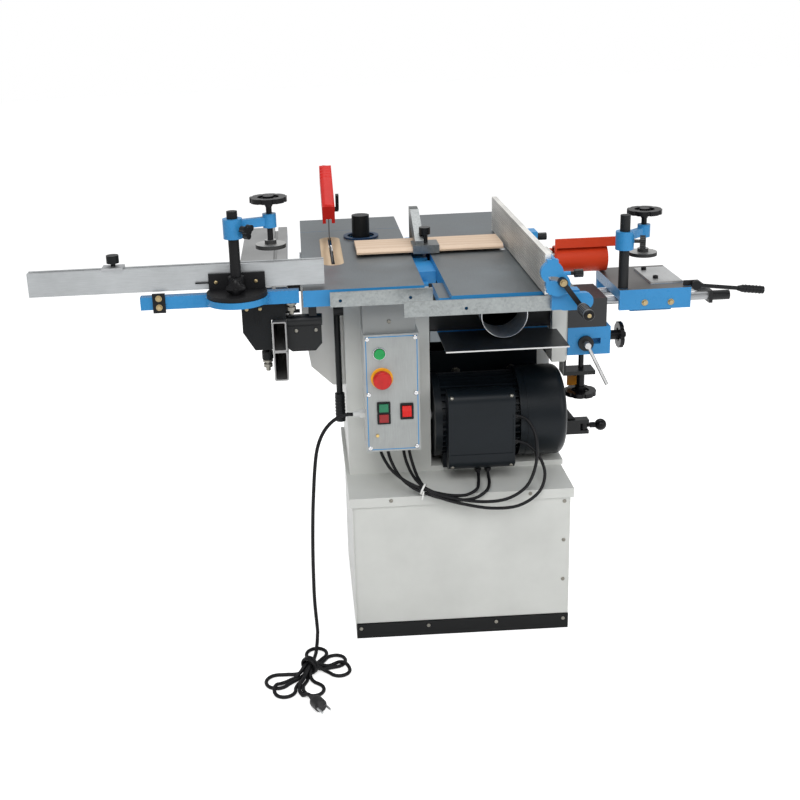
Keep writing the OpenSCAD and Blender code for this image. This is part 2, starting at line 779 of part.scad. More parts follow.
// Fence carriage that clamps on the zinc rail
module fence_carriage() {
    y1 = -infeed_front - 18 - gap;
    x0 = fence_x + fence_t + 1;
    color("dodgerblue") {
        xz_extrude(y1 - 15, 15) translate([x0 + 12, 0]) {
            translate([0, table_z - 32]) round_rect([72, 34], 16);
            translate([-10, table_z - 30]) square([40, 31]);
        }
        slab([x0 + 10, y1 - cut, table_z + gap], [x0 + 60, -infeed_front + 6, table_z + 5]);
    }
}

// Ribbed fence plate with its tilt quadrant, rear bracket and clamp knobs
module fence_plate() {
    z0 = table_z + 3;
    y0 = -infeed_front - 46;
    ribs = 16;
    pitch = fence_h / ribs;
    color("silver") xz_extrude(y0 + 12, fence_len) difference() {
        translate([fence_x, z0]) square([fence_t, fence_h]);
        for (i = [0:ribs - 1]) translate([fence_x - 0.5, z0 + (i + 0.3) * pitch]) square([2, pitch * 0.4]);
        translate([fence_x + fence_t - 5, z0 + 14]) square([6, 16]);
        translate([fence_x + fence_t - 5, z0 + fence_h - 30]) square([6, 16]);
    }
    px = fence_x + fence_t;
    color("dodgerblue") difference() {
        union() {
            xz_extrude(y0, 12) translate([px, z0]) quadrant_outline();
            slab([px, y0, z0 + 44], [px + 6, y0 + 60, z0 + fence_h - 8]);
            // Rear bracket on the back of the fence
            slab([px, -150, z0 + 40], [px + 16, -110, z0 + fence_h - 2]);
        }
        translate([px, y0 + 13, z0]) rotate([90, 0, 0]) rotate([0, 0,
            slot_from]) rotate_extrude(angle = tilt_max)
            translate([slot_r - 4.5, 0]) square([9, 14]);
    }
    color("black") {
        bar_x_dir([px + 10, y0 + 6, z0 + 42], 38, 8);
        bar_x_dir([px + 44, y0 + 3, z0 + 42], 16, 16);
        bar_x_dir([px + 16, -130, z0 + 66], 22, 16);
    }
}

// Rounded sector of the tilt quadrant, about the tilt axis
module quadrant_outline() {
    intersection() {
        circle(r = 72);
        union() {
            translate([-10, 6]) square([22, 66]);
            translate([12, 22]) circle(r = 24);
            translate([0, 46]) circle(r = 22);
            translate([-6, 2]) square([24, 30]);
        }
    }
}

// Crank lever of the tilt clamp, with its grip
module crank_lever() {
    px = fence_x + fence_t + slot_r * cos(slot_from);
    pz = table_z + 3 + slot_r * sin(slot_from);
    y0 = -infeed_front - 46 - gap;
    tip = [px + 38, pz - 52];
    color("black") {
        bar_y_dir([px, y0 - 14, pz], 14, 18);
        bar_y_dir([tip.x, y0 - 14, tip.y], 10, 16);
        translate([px, y0 - 12, pz]) rotate([0, atan2(52, 38), 0]) translate([0, 0, -5])
            cube([norm([38, 52]), 7, 10]);
    }
    color("gray") bar_y_dir([tip.x, y0 - 66, tip.y], 52, 22);
}

// Bracket of the bridge guard: square post, arm over the tables and clamp foot with its knob
module bridge_bracket() {
    x0 = pillar_r - 14 + gap;
    g0 = table_z + 6;
    top = g0 + guard_t + 6;
    front = guard_back - guard_w;
    color("silver") {
        translate([x0, socket_y + gap, table_low - 21]) cube([20, 20, 140]);
        slab([x0 - 6, front - 5, top - 6 + gap], [x0 + 54, front + 52, top]);
        slab([x0 - 6, front - 5, g0 - 3], [x0 + 54, front - 2, top]);
        yz_extrude(x0, 20) polygon([[socket_y + 2, top + 60], [socket_y + 2, top + 24],
            [front + 50, top - cut],
            [front + 8, top - cut], [front + 8, top + 8], [front + 30, top + 22], [socket_y - 20, top + 62]]);
    }
    color("black") {
        bar_z_dir([x0 + 24, front + 26, top - cut], 28, 14);
        bar_z_dir([x0 + 24, front + 26, top + 20], 16, 26);
    }
}

// Bridge guard board with bevelled edges
module bridge_guard() {
    z0 = table_z + 6;
    y0 = guard_back - guard_w;
    color("burlywood") yz_extrude(fence_x - 9 - guard_len, guard_len)
        polygon([[y0, z0], [y0 + guard_w, z0], [y0 + guard_w, z0 + 4], [y0 + guard_w - 10, z0 + guard_t],
            [y0 + 10, z0 + guard_t], [y0, z0 + 4]]);
}

// Saw arbor housing with the riving knife and its arm
module saw_lift() {
    knife_y = arbor_y + blade_d / 2 + 2;
    color("dimgray") difference() {
        union() {
            slab([-frame_l + frame_wall + gap, arbor_y - 34, arbor_z - 34],
                [guide_x + 40, arbor_y + 34, arbor_z + 34]);
            slab([blade_x + 4, arbor_y + 32, arbor_z - 30],
                [-frame_l + frame_wall + 6, arbor_y + 62, arbor_z - 14]);
        }
        bar_x_dir([blade_x - 4, arbor_y, arbor_z], 120, arbor_d + 2 * run);
        for (y = guide_ys) bar_z_dir([guide_x, y, arbor_z - 40], 80, guide_d + 2 * run);
    }
    color("silver") {
        slab([blade_x + 4, arbor_y + 50, arbor_z - 30], [blade_x + 10, knife_y + 14, arbor_z - 14]);
        slab([blade_x - 1.2, knife_y, arbor_z - 30], [blade_x + 10, knife_y + 14, arbor_z - 14]);
        yz_extrude(blade_x - 1.2, 2.4) polygon([[knife_y, arbor_z - 30], [knife_y + 14, arbor_z - 30],
            [knife_y + 14, table_z + 72], [knife_y + 4, table_z + 84], [knife_y - 14, table_z + 78],
            [knife_y - 14, arbor_z + 90], [knife_y, arbor_z + 40]]);
    }
}

// Toothed blade on its arbor, with flange and nut
module saw_blade() {
    root = blade_d / 2 - 7;
    tip = blade_d / 2;
    pitch = 360 / blade_teeth;
    outline = [for (i = [0:blade_teeth - 1]) for (p = [[root, 0.1], [tip, 0.15], [tip - 1, 0.5], [root, 0.9]])
        p.x * [cos((i + p.y) * pitch), sin((i + p.y) * pitch)]];
    color("silver") {
        yz_extrude(blade_x - blade_t / 2, blade_t) translate([arbor_y, arbor_z]) polygon(outline);
        bar_x_dir([blade_x - 16, arbor_y, arbor_z], 100, arbor_d);
        bar_x_dir([blade_x - blade_t / 2 - 6, arbor_y, arbor_z], 12 + blade_t, 56);
    }
}

// Hinged blade guard: sloping channel with its lock lever
module saw_guard() {
    knife_y = arbor_y + blade_d / 2 + 2;
    color("red") translate([blade_x, knife_y - 4, table_z + 68]) rotate([22, 0, 0]) {
        difference() {
            slab([-15, -26, -16], [15, 165, 32]);
            slab([-11, -22, -17], [11, 161, 28]);
            slab([-7, -30, -17], [7, 0, -4]);
        }
        for (x = [-12, 1.5]) bar_x_dir([x, 0, 0], 10.5, 16);
    }
    color("black") translate([blade_x + 15, knife_y - 4, table_z + 68]) rotate([22, 0, 0]) {
        bar_x_dir([0, 2, 6], 10, 12);
        slab([3, -3, 6], [11, 5, 48]);
    }
}

// Hanging lever of the saw lift with its grip
module lift_lever() {
    x = -frame_l - 18;
    color("black") difference() {
        union() {
            bar_x_dir([x - 4, lever_y, lever_z], 22 - gap, 36);
            bar_z_dir([x + 3, lever_y, lever_z - 205], 195, 14);
            bar_z_dir([x + 3, lever_y, lever_z - 267], 66, 22);
        }
        bar_x_dir([-frame_l - 14 - gap, lever_y, lever_z], 20, lever_pin_d + 2 * run);
    }
}

// Quill that lifts the moulder spindle
module spindle_quill() {
    color("dimgray") difference() {
        bar_z_dir([spindle_x, spindle_y, table_low - 130], 140, quill_d);
        bar_z_dir([spindle_x, spindle_y, table_low - 140], 160, 30 + 2 * run);
    }
}

// Moulder spindle with its head and pulley
module spindle() {
    color("black") {
        bar_z_dir([spindle_x, spindle_y, table_low - 160], 180, 30);
        bar_z_dir([spindle_x, spindle_y, table_low + 10 + gap], 80, spindle_d);
        bar_z_dir([spindle_x, spindle_y, table_low - 158], 24, 80);
    }
}

// Two stacked rail tubes hung from the saw table by round bars, posts and plates
module carriage_rails() {
    color("gray") for (i = [0, 1]) difference() {
        z1 = tube_top - i * tube_h;
        xz_extrude(tube_y, tube_len) translate([tube_x, z1 - tube_h]) round_rect([tube_w, tube_h], 4);
        xz_extrude(tube_y - cut, tube_len + 2 * cut) translate([tube_x + tube_wall, z1 - tube_h + tube_wall])
            round_rect([tube_w - 2 * tube_wall, tube_h - 2 * tube_wall], 2);
    }
    color("black") for (y = [-168, 330]) {
        bar_x_dir([tube_x + tube_w, y, tube_top - 10], 76, 26);
        bar_z_dir([saw_x + 17, y, tube_top - 10], table_z - plate_t - tube_top + 10, 14);
        slab([saw_x + 11, y - 8, tube_top - 10], [saw_x + 27, y + 8, table_z - plate_t]);
        xz_extrude(y - 4, 8) translate([tube_x + tube_w, tube_top])
            polygon([[0, -14], [0, -70], [10, -78], [60, -78], [74, -62], [74, -14]]);
    }
}

// Aluminium carriage table with its groove
module carriage_table() {
    color("lightgray") difference() {
        slab([slide_x, slide_y, table_z - slide_t], [slide_x + slide_w, slide_y + slide_len, table_z]);
        slab([slide_x + 76, slide_y - cut, table_z - 10],
            [slide_x + 84, slide_y + slide_len + cut, table_z + cut]);
        for (x = [6, 57]) slab([slide_x + x, slide_y - cut, table_z - slide_t + 4],
            [slide_x + x + 44, slide_y + slide_len + cut, table_z - 14]);
    }
    color("black") slab([slide_x + slide_w, slide_y + 210, table_z - 22],
        [slide_x + slide_w + 26, slide_y + 260, table_z - 4]);
}

// Undercarriage with chamfered end plates and rollers, and the blue outrigger bar
module carriage_frame() {
    w0 = tube_x - 62;
    color("black") {
        for (end = [[slide_y - 6, bar_low],
            [slide_y + 330, table_z - slide_t]]) xz_extrude(end.x, 6) difference() {
            polygon([[w0, end.y], [w0, tube_top - 25], [w0 + 24, tube_top - 65], [saw_x - 18, tube_top - 65],
                [saw_x - 18, end.y]]);
            translate([tube_x - 1, 0]) square([tube_w + 2, tube_top + 1]);
            translate([tube_x + tube_w, 0]) square([30, tube_top + 17]);
        }
        for (y = [slide_y + 12, slide_y + 312]) {
            bar_x_dir([tube_x - 6, y, tube_top + gap + 12], tube_w + 5, 24);
            bar_x_dir([tube_x - 30, y, tube_top + gap + 12], tube_w + 60, 8);
            slab([tube_x - 34, y - 20, tube_top - 10], [tube_x - 28, y + 20, table_z - slide_t]);
            slab([tube_x + tube_w + 6, y - 20, tube_top + 6],
                [tube_x + tube_w + 12, y + 20, table_z - slide_t]);
            bar_z_dir([tube_x - 13.5, y, tube_top - 89], 110, 8);
            bar_z_dir([tube_x - 13.5, y, tube_top - 89], 16, 24);
        }
    }
    color("dodgerblue") {
        slab([bar_x, bar_y, bar_low], [bar_x + bar_len, bar_y + bar_t, bar_top]);
        slab([slide_x, bar_y + bar_t, bar_low], [bar_x + bar_len, slide_y, bar_low + 18]);
        difference() {
            bar_z_dir([mitre_x, mitre_y, bar_top - 13], 13, 2 * mitre_r + 4);
            slab([slide_x - 80, slide_y, bar_low], [slide_x + slide_w, slide_y + 60, bar_top + cut]);
        }
        slab([bar_x + 26, bar_y - 5, bar_low - 6], [bar_x + 52, bar_y, bar_top + 8]);
    }
}

// Mitre plate with the upright face for the fence and the clamp post
module mitre_gauge() {
    face = cross_y - gap;
    color("black") {
        translate([mitre_x, mitre_y, plate_low]) linear_extrude(mitre_t) intersection() {
            circle(mitre_r);
            translate([-mitre_r, -mitre_r]) square([2 * mitre_r, mitre_r + face - mitre_y + 20]);
        }
        slab([mitre_x - 58, face - 6, plate_low], [mitre_x + 58, face, plate_low + 42]);
        bar_z_dir([mitre_x, mitre_y, plate_low], 40, post_d + 10);
        bar_z_dir([mitre_x, mitre_y, plate_low], post_h + 10, post_d);
    }
}

// Crosscut fence extrusion with its T slots
module crosscut_fence() {
    color("silver") yz_extrude(cross_x, cross_len) difference() {
        translate([cross_y, cross_z]) square([cross_t, cross_h]);
        translate([cross_y + 3, cross_z + 3]) square([cross_t - 6, 12]);
        translate([cross_y + 3, cross_z + 18]) square([cross_t - 6, 14]);
        translate([cross_y + 3, cross_z + 35]) square([cross_t - 6, 8]);
        translate([cross_y + cross_t / 2 - 3, cross_z + 40]) square([6, 20]);
    }
}

// Length stop on top of the crosscut fence
module fence_stop() {
    z = cross_z + cross_h + gap;
    color("black") {
        slab([stop_x - 22, cross_y - 8, z], [stop_x + 22, cross_y + cross_t + 2, z + 5]);
        bar_z_dir([stop_x, cross_y + cross_t / 2, z], 26, 10);
        bar_z_dir([stop_x, cross_y + cross_t / 2, z + 12], 16, 26);
    }
}

// Hold-down clamp arm about its post: split collar, web, screw boss and lobed knob
module clamp_arm(turn) {
    color("dodgerblue") rotate(turn) difference() {
        union() {
            cylinder(d = post_d + 18, h = 40);
            translate([arm_reach, 0, 14]) cylinder(d = screw_d + 16, h = 28);
            slab([post_d / 2, -7, 18], [arm_reach, 7, 36]);
        }
        translate([0, 0, -cut]) cylinder(d = post_d + 2 * run, h = 42);
        translate([arm_reach, 0, 0]) cylinder(d = screw_d + 2 * run, h = 60);
    }
    color("black") rotate(turn - 60) translate([post_d / 2 + 7, 0, 18]) rotate([0, 90, 0]) {
        cylinder(d = 8, h = 18);
        translate([0, 0, 14]) linear_extrude(12) {
            circle(d = 18);
            for (i = [0:2]) rotate(i * 120) translate([10, 0]) circle(d = 13);
        }
    }
}

// Clamp screw with its handwheel, from the pad up
module clamp_screw(turn) {
    color("black") rotate(turn) translate([arm_reach, 0, 0]) {
        translate([0, 0, -18]) cylinder(d = screw_d, h = 96);
        translate([0, 0, 66]) handwheel(wheel_d, 10, 22, 12, screw_d - 2);
        translate([0, 0, 56]) cylinder(d1 = screw_d + 2, d2 = 22, h = 10);
    }
}

// Clamp pad: steel disc in a rubber cup
module clamp_pad(turn) {
    color("dimgray") rotate(turn) translate([arm_reach, 0, -28]) difference() {
        union() {
            cylinder(d = pad_d, h = 8);
            cylinder(d = 24, h = 16);
        }
        translate([0, 0, 10 - gap]) cylinder(d = screw_d + 2 * gap, h = 20);
    }
}

left_post = [mitre_x, mitre_y, plate_low + mitre_t + 110];
right_post = [mortise_x + 12, mortise_y + 20, mortise_z + 88];
left_turn = 19;
right_turn = 43;
module left_clamp_arm() translate(left_post) clamp_arm(left_turn);
module left_clamp_screw() translate(left_post) clamp_screw(left_turn);
module left_clamp_pad() translate(left_post) clamp_pad(left_turn);
module right_clamp_arm() translate(right_post) clamp_arm(right_turn);
module right_clamp_screw() translate(right_post) clamp_screw(right_turn);
module right_clamp_pad() translate(right_post) clamp_pad(right_turn);

// Mortiser block on the right wall: cast slide, blue bracket with lock slot
module mortise_lift() {
    low = block_low - 64;
    color("dimgray") difference() {
        slab([block_x, block_y, block_low], [block_x + block_w, block_y + block_len, block_top]);
        for (y = rod_ys) bar_x_dir([block_x - cut, y, rod_z], block_w + 2 * cut, rod_d + 2 * run);
        bar_z_dir([lift_x, lift_y, block_low - cut], 38 + cut, lift_screw_d + 2 * run);
    }
    color("dodgerblue") difference() {
        slab([block_x, block_y, low], [block_x + block_w + 10, block_y + 60, block_low]);
        slab([block_x + 44, block_y - cut, low + 24], [block_x + 74, block_y + 16, low + 38]);
        bar_z_dir([lift_x, lift_y, low - cut], 80, lift_screw_d + 2 * run);
        bar_x_dir([block_x + block_w - 10, block_y + 30, low + 34], 30, 12 + 2 * run);
    }
}

// Lift screw with its handwheel underneath
module lift_wheel() {
    color("black") {
        bar_z_dir([lift_x, lift_y, lift_wheel_z + 2], 158, lift_screw_d);
        translate([lift_x, lift_y, lift_wheel_z]) handwheel(lift_wheel_d, 10, 24, 20, lift_screw_d - 2);
        bar_z_dir([lift_x, lift_y, lift_wheel_z + 8], yoke_z - gap - lift_wheel_z - 8, lift_screw_d + 6);
    }
}

// Side handwheel on the bracket
module side_wheel() {
    x = block_x + block_w + 10;
    z = block_low - 30;
    color("black") {
        bar_x_dir([x - 18, block_y + 30, z], 60, 12);
        translate([x + gap, block_y + 30, z]) rotate([0, 90, 0]) cylinder(d = 22, h = 24);
        translate([x + 24, block_y + 30, z]) rotate([0, 90, 0]) handwheel(60, 9, 20, 12, 10);
    }
}

// Lock lever with its flange on the front of the bracket
module lock_lever() {
    x = block_x + 40;
    y = block_y - gap;
    z = block_low - 36;
    color("silver") {
        bar_y_dir([x, y - 26, z], 20, 14);
        translate([x, y - 20, z]) rotate([0, 154, 0]) cylinder(d = 8, h = 104);
    }
    color("black") bar_y_dir([x, y - 8, z], 8, 34);
}

// Slide rods with the saddle, end plate and push handle
module mortise_rods() {
    x1 = rod_x + rod_len;
    color("silver") for (y = rod_ys) bar_x_dir([rod_x, y, rod_z], rod_len, rod_d);
    color("dodgerblue") difference() {
        slab([saddle_x, -66, rod_z - 22], [saddle_x + saddle_w, 46, mortise_z - 12 - gap]);
        for (y = rod_ys) bar_x_dir([saddle_x - cut, y, rod_z], saddle_w + 3 * cut, rod_d);
    }
    color("black") {
        slab([x1, -58, rod_z - 14], [x1 + 8, 38, rod_z + 14]);
        bar_x_dir([x1 + 8, -45, rod_z], 40, 22);
    }
}

// Mortise table: plate with front and back skirts, clamp post and stop plate
module mortise_table() {
    x1 = mortise_x + mortise_w;
    y1 = mortise_y + mortise_d;
    color("dodgerblue") {
        slab([mortise_x, mortise_y, mortise_z - 12], [x1, y1, mortise_z]);
        slab([mortise_x, mortise_y, mortise_z - 46], [x1, mortise_y + 10, mortise_z - 12]);
        slab([mortise_x, y1 - 10, mortise_z - 46], [x1, y1, mortise_z - 12]);
        slab([mortise_x, mortise_y, mortise_z - 24], [mortise_x + 10, y1, mortise_z - 12]);
    }
    color("lightgray") slab([mortise_x + 80, mortise_y + 40, mortise_z],
        [x1 - 6, mortise_y + 174, mortise_z + 5]);
    color("black") bar_z_dir([right_post.x, right_post.y, mortise_z], post_h, post_d);
    // Ear of the feed lever
    color("black") slab([x1 - 12, mortise_y + 12, mortise_z - cut],
        [x1 + 20, mortise_y + 20, mortise_z + 11]);
}

// Long feed lever of the mortise table, with its grip
module table_lever() {
    at = [mortise_x + mortise_w + 12, mortise_y + 12 - gap, mortise_z + 2];
    color("black") {
        translate(at) rotate([90, 0, 0]) cylinder(d = 21, h = 10);
        translate(at + [0, -5, 0]) rotate([0, 97, 0]) {
            cylinder(d = 9, h = 110);
            translate([0, 0, 94]) cylinder(d1 = 11, d2 = 16, h = 10);
            translate([0, 0, 104]) cylinder(d = 17, h = 48);
        }
    }
}

// Lever with a ball at the right of the motor
module ball_lever() {
    color("black") {
        bar_x_dir([fork_x + 7, fork_y, fork_z], 26, 10);
        bar_x_dir([fork_x + 16, fork_y, fork_z], 12, 14);
        translate([fork_x + 42, fork_y, fork_z]) sphere(d = 29);
        difference() {
            bar_z_dir([fork_x, fork_y, fork_z - 9], 18, 20);
            bar_z_dir([fork_x, fork_y, fork_z - 20], 40, fork_pin_d + 2 * run);
        }
    }
}

// Control box with its cord gland
module control_box() {
    gland_z = box_z + 74;
    gland_y = box_front + 40;
    riser_w = box_w - 6;
    color("whitesmoke") difference() {
        slab([box_x, box_front, box_z], [box_x + box_w, -frame_front, box_z + box_h]);
        slab([box_x + 2, box_front - cut, box_z + 2],
            [box_x + box_w - 2, -frame_front - 2, box_z + box_h - 2]);
        bar_x_dir([box_x - cut, gland_y, gland_z], 6, cord_d);
        for (p = lead_ports) bar_z_dir([p, lead_y, box_z - cut], 6, lead_d);
    }
    // Riser up to the saw table
    color("whitesmoke") slab([box_x, box_front + 10, box_z + box_h],
        [box_x + riser_w, -frame_front, table_low]);
    color("white") translate([box_x, gland_y, gland_z]) rotate([0, -90, 0]) difference() {
        union() {
            cylinder(d = 22, h = 12, $fn = 6);
            cylinder(d1 = 18, d2 = 13, h = 26);
        }
        translate([0, 0, -cut]) cylinder(d = cord_d, h = 40);
    }
}

// Places of the controls on the panel: start, stop, switch pair and rocker
start_at = [-171, 675];
estop_at = [-167, 619];
pair_at = [-165, 540];
rocker_at = [-115, 542];
rocker_pin_d = 4;

// Control panel with openings for the controls
module control_panel() {
    color("silver") difference() {
        slab([box_x, panel_y, box_z], [box_x + box_w, box_front, box_z + box_h]);
        bar_x_dir([rocker_at.x - 14, panel_y + 3, rocker_at.y], 28, rocker_pin_d + 2 * run);
        for (p = [start_at, estop_at]) bar_y_dir([p.x, panel_y - cut, p.y], 10, 20);
        for (p = [[pair_at.x, pair_at.y + 12], [pair_at.x, pair_at.y - 12]])
            translate([p.x - 10.5, panel_y - cut, p.y - 9.5]) cube([21, 10, 19]);
        translate([rocker_at.x - 11, panel_y - cut, rocker_at.y - 14]) cube([22, 10, 28]);
    }
    color("gold") bar_y_dir([-180, panel_y - 3, 488], 3, 7);
    // Lugs behind the panel for the rocker pin
    color("black") for (x = [rocker_at.x - 14, rocker_at.x + 11]) difference() {
        slab([x, box_front, rocker_at.y - 5], [x + 3, box_front + 5, rocker_at.y + 5]);
        bar_x_dir([x - cut, panel_y + 3, rocker_at.y], 5, rocker_pin_d + 2 * run);
    }
}

// Round push buttons: stem through the panel, with a cap or a mushroom head
module start_button() {
    color("green") {
        bar_y_dir([start_at.x, panel_y - 4, start_at.y], 20, 19);
        bar_y_dir([start_at.x, panel_y - 8, start_at.y], 5, 23);
    }
}
module estop_button() {
    color("red") {
        bar_y_dir([estop_at.x, panel_y - 10, estop_at.y], 26, 19);
        translate([estop_at.x, panel_y - 8, estop_at.y]) rotate([90, 0, 0]) rotate_extrude() union() {
            square([20, 8]);
            square([15, 13]);
            translate([15, 8]) circle(5);
        }
    }
}
module push_plate(z, tint) {
    color(tint) translate([pair_at.x - 10, panel_y - 5, z - 9]) cube([20, 18, 18]);
}
module on_button() push_plate(pair_at.y + 12, "green");
module off_button() push_plate(pair_at.y - 12, "red");
module rocker_switch() {
    color("red") {
        yz_extrude(rocker_at.x - 10, 20) polygon([[panel_y + 8, rocker_at.y - 11],
            [panel_y + 8, rocker_at.y + 11],
            [panel_y - 2, rocker_at.y + 12], [panel_y - 3, rocker_at.y], [panel_y - 5, rocker_at.y - 12]]);
        bar_x_dir([rocker_at.x - 13, panel_y + 3, rocker_at.y], 26, rocker_pin_d);
    }
}

// Cords: diameters, hand-chosen routes and the loops of the hank
cord_d = 8;
lead_d = 7;
lead_y = -150;
lead_ports = [-172, -156, -121, -109];
mains_route = [[-230, -150, 524], [-244, -150, 524], [-262, -151, 519], [-282, -154, 506], [-300, -160, 484],
    [-313, -168, 452], [-320, -176, 410], [-325, -184, 360], [-329, -190, 310], [-332, -195, 255],
        [-334, -199, 200],
    [-335, -203, 145], [-335, -207, 95], [-333, -212, 58], [-328, -219, 32], [-320, -229, 15],
        [-309, -242, 7],
    [-297, -257, 4.6]];
lead_routes = [
    [[-172, lead_y, 450], [-172, -151, 438], [-166, -160, 420], [-150, -184, 400], [-124, -206, 384],
        [-92, -222, 372],
        [-56, -228, 361], [-24, -230, 354], [8, -229, 353], [32, -218, 360], [40, -194, 366],
            [44, -166, 370], [45, -151, 382]],
    [[-156, lead_y, 450], [-156, -151, 438], [-150, -162, 414], [-134, -190, 388], [-108, -214, 370],
        [-80, -226, 360],
        [-48, -230, 349], [-10, -230, 342], [28, -228, 344], [54, -218, 356], [64, -194, 364],
            [66, -166, 369], [67, -151, 382]],
    [[-121, lead_y, 450], [-121, -151, 438], [-118, -166, 418], [-108, -196, 396], [-90, -226, 380],
        [-60, -239, 366],
        [-20, -241, 352], [40, -240, 340], [96, -236, 342], [140, -226, 364], [160, -208, 402],
            [158, -184, 452], [146, -162, 486],
        [136, -153, 499], [125, -152, 502]],
    [[-109, lead_y, 450], [-109, -151, 438], [-104, -168, 412], [-94, -202, 386], [-76, -232, 368],
        [-46, -241, 353],
        [0, -243, 338], [60, -243, 325], [120, -240, 326], [166, -230, 350], [184, -210, 384],
            [176, -186, 416], [156, -164, 436],
        [138, -154, 441], [125, -153, 442]]];

// Lead routes keep to the control box at one end and follow the motor at the other
drawn_base = 350;
function lifted(route) = [for (i = [0:len(route) - 1])
    route[i] + [0, 0, (base_h - drawn_base) * min(max(i - 1, 0) / 3, 1)]];

// Ring of a tube: points round a centre, square to the run of the path
function unit(v) = v / norm(v);
function run_of(path, i) = unit(path[min(i + 1, len(path) - 1)] - path[max(i - 1, 0)]);
function ring(c, t, r, sides, side_ref) = let (n = unit(cross(t, side_ref)), b = cross(t, n))
    [for (k = [0:sides - 1]) c + r * (cos(k * 360 / sides) * n + sin(k * 360 / sides) * b)];

// Closed tube of triangles along a path
module tube(path, d, sides, side_ref) {
    n = len(path);
    points = [for (i = [0:n - 1]) each ring(path[i], run_of(path, i), d / 2, sides, side_ref)];
    walls = [for (i = [0:n - 2], k = [0:sides - 1]) let (a = i * sides + k, b = i * sides + (k + 1) % sides)
        each [[a, b, b + sides], [a, b + sides, a + sides]]];
    low_end = [for (k = [1:sides - 2]) [0, k + 1, k]];
    top = (n - 1) * sides;
    high_end = [for (k = [1:sides - 2]) [top, top + k, top + k + 1]];
    polyhedron(points = points, faces = concat(walls, low_end, high_end));
}

// Hank: loops that spiral in on the floor, climb and spiral out again, drawn in at the waist
hank_c = [-350, -350];
hank_turn = 40;
hank_in = 2;
hank_a = 98;
hank_b = 44;
step_a = 10;
step_b = 14;
hank_steps = 24;
waist = 0.8;
layer = cord_d + 1;
hank_low = cord_d / 2 + 0.6;
function hank_fill(s) = s <= hank_in ? s : 2 * hank_in - s;
function hank_height(s) = hank_low + layer * min(max((s - hank_in + 0.25) / 0.5, 0), 1);
function hank_point(s) = let (t = -360 * s, f = hank_fill(s), a = hank_a - step_a * f,
    b = hank_b - step_b * f,
    pinch = waist + (1 - waist) * abs(cos(t)), u = a * cos(t), v = b * sin(t) * pinch)
    [hank_c.x + u * cos(hank_turn) - v * sin(hank_turn),
        hank_c.y + u * sin(hank_turn) + v * cos(hank_turn), hank_height(s)];
hank_end = 2 * hank_in + 0.25;
hank_loops = [for (i = [0:hank_end * hank_steps]) hank_point(i / hank_steps)];
hank_side = [cos(hank_turn), sin(hank_turn), 0];
hank_run = [sin(hank_turn), -cos(hank_turn), 0];
tail_run = -hank_side;
tail_r = 34;
tail_straight = 30;
tail_turn = 80;
loop_end = hank_loops[len(hank_loops) - 1];
tail_bend = loop_end + tail_straight * tail_run;
function tail_point(a) = tail_bend + tail_r * (sin(a) * tail_run + (1 - cos(a)) * hank_run) + [0, 0,
    a / tail_turn];
hank_start = hank_loops[0] - cord_d * hank_run;
plug_turn = hank_turn + 180 + tail_turn;
plug_at = tail_point(tail_turn) + cord_d * [cos(plug_turn), sin(plug_turn), 0];
hank_path = concat([hank_start], hank_loops, [loop_end + tail_straight / 2 * tail_run],
    [for (a = [0:20:tail_turn]) tail_point(a)], [plug_at]);
hank_gap = min([for (i = [0:len(hank_loops) - 1], j = [i + 8:1:len(hank_loops) - 1])
    norm(hank_loops[i] - hank_loops[j])]) - cord_d;
echo("least gap in the hank", hank_gap);

module mains_cord() {
    color("black") tube(concat(mains_route, [hank_start]), cord_d, 8, [0, 1, 0]);
}
module cord_hank() {
    color("black") tube(hank_path, cord_d, 6, [0, 0, 1]);
}
module motor_leads() {
    color("black") for (route = lead_routes) tube(lifted(route), lead_d, 8, [0.3, 1, 0.2]);
}

// Two-pin mains plug with its bend relief
module mains_plug() {
    translate(plug_at) rotate(plug_turn) {
        color("black") rotate([0, 90, 0]) rotate_extrude() polygon([[0, 0], [5, 0], [7, 14], [13, 17],
            [14, 22], [14, 40],
            [12, 44], [0, 44]]);
        color("silver") for (y = [-9.5, 9.5]) bar_x_dir([44, y, 0], 19, 4.8);
    }
}

base_cabinet();
front_panel();
upper_frame();
motor_housing();
saw_table();
table_insert();
saw_rail();
outfeed_table();
control_box();
control_panel();
saw_hopper();
carriage_rails();
chip_hood();
drive_belt();
chuck_guards();
motor_leads();
mains_cord();
cord_hank();
mains_plug();
infeed_table();
fence_carriage();
fence_plate();
crank_lever();
bridge_bracket();
bridge_guard();
cutter_block();
motor_rotor();
infeed_roller();
outfeed_roller();
thickness_bed();
saw_lift();
saw_blade();
saw_guard();
lift_lever();
spindle_quill();
spindle();
carriage_table();
carriage_frame();
mitre_gauge();
crosscut_fence();
fence_stop();
left_clamp_arm();
left_clamp_screw();
left_clamp_pad();
mortise_lift();
lift_wheel();
side_wheel();
mortise_rods();
mortise_table();
table_lever();
lock_lever();
right_clamp_arm();
right_clamp_screw();
right_clamp_pad();
start_button();
estop_button();
on_button();
off_button();
rocker_switch();
ball_lever();
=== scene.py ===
import math

import bpy
import numpy as np
from mathutils import Matrix


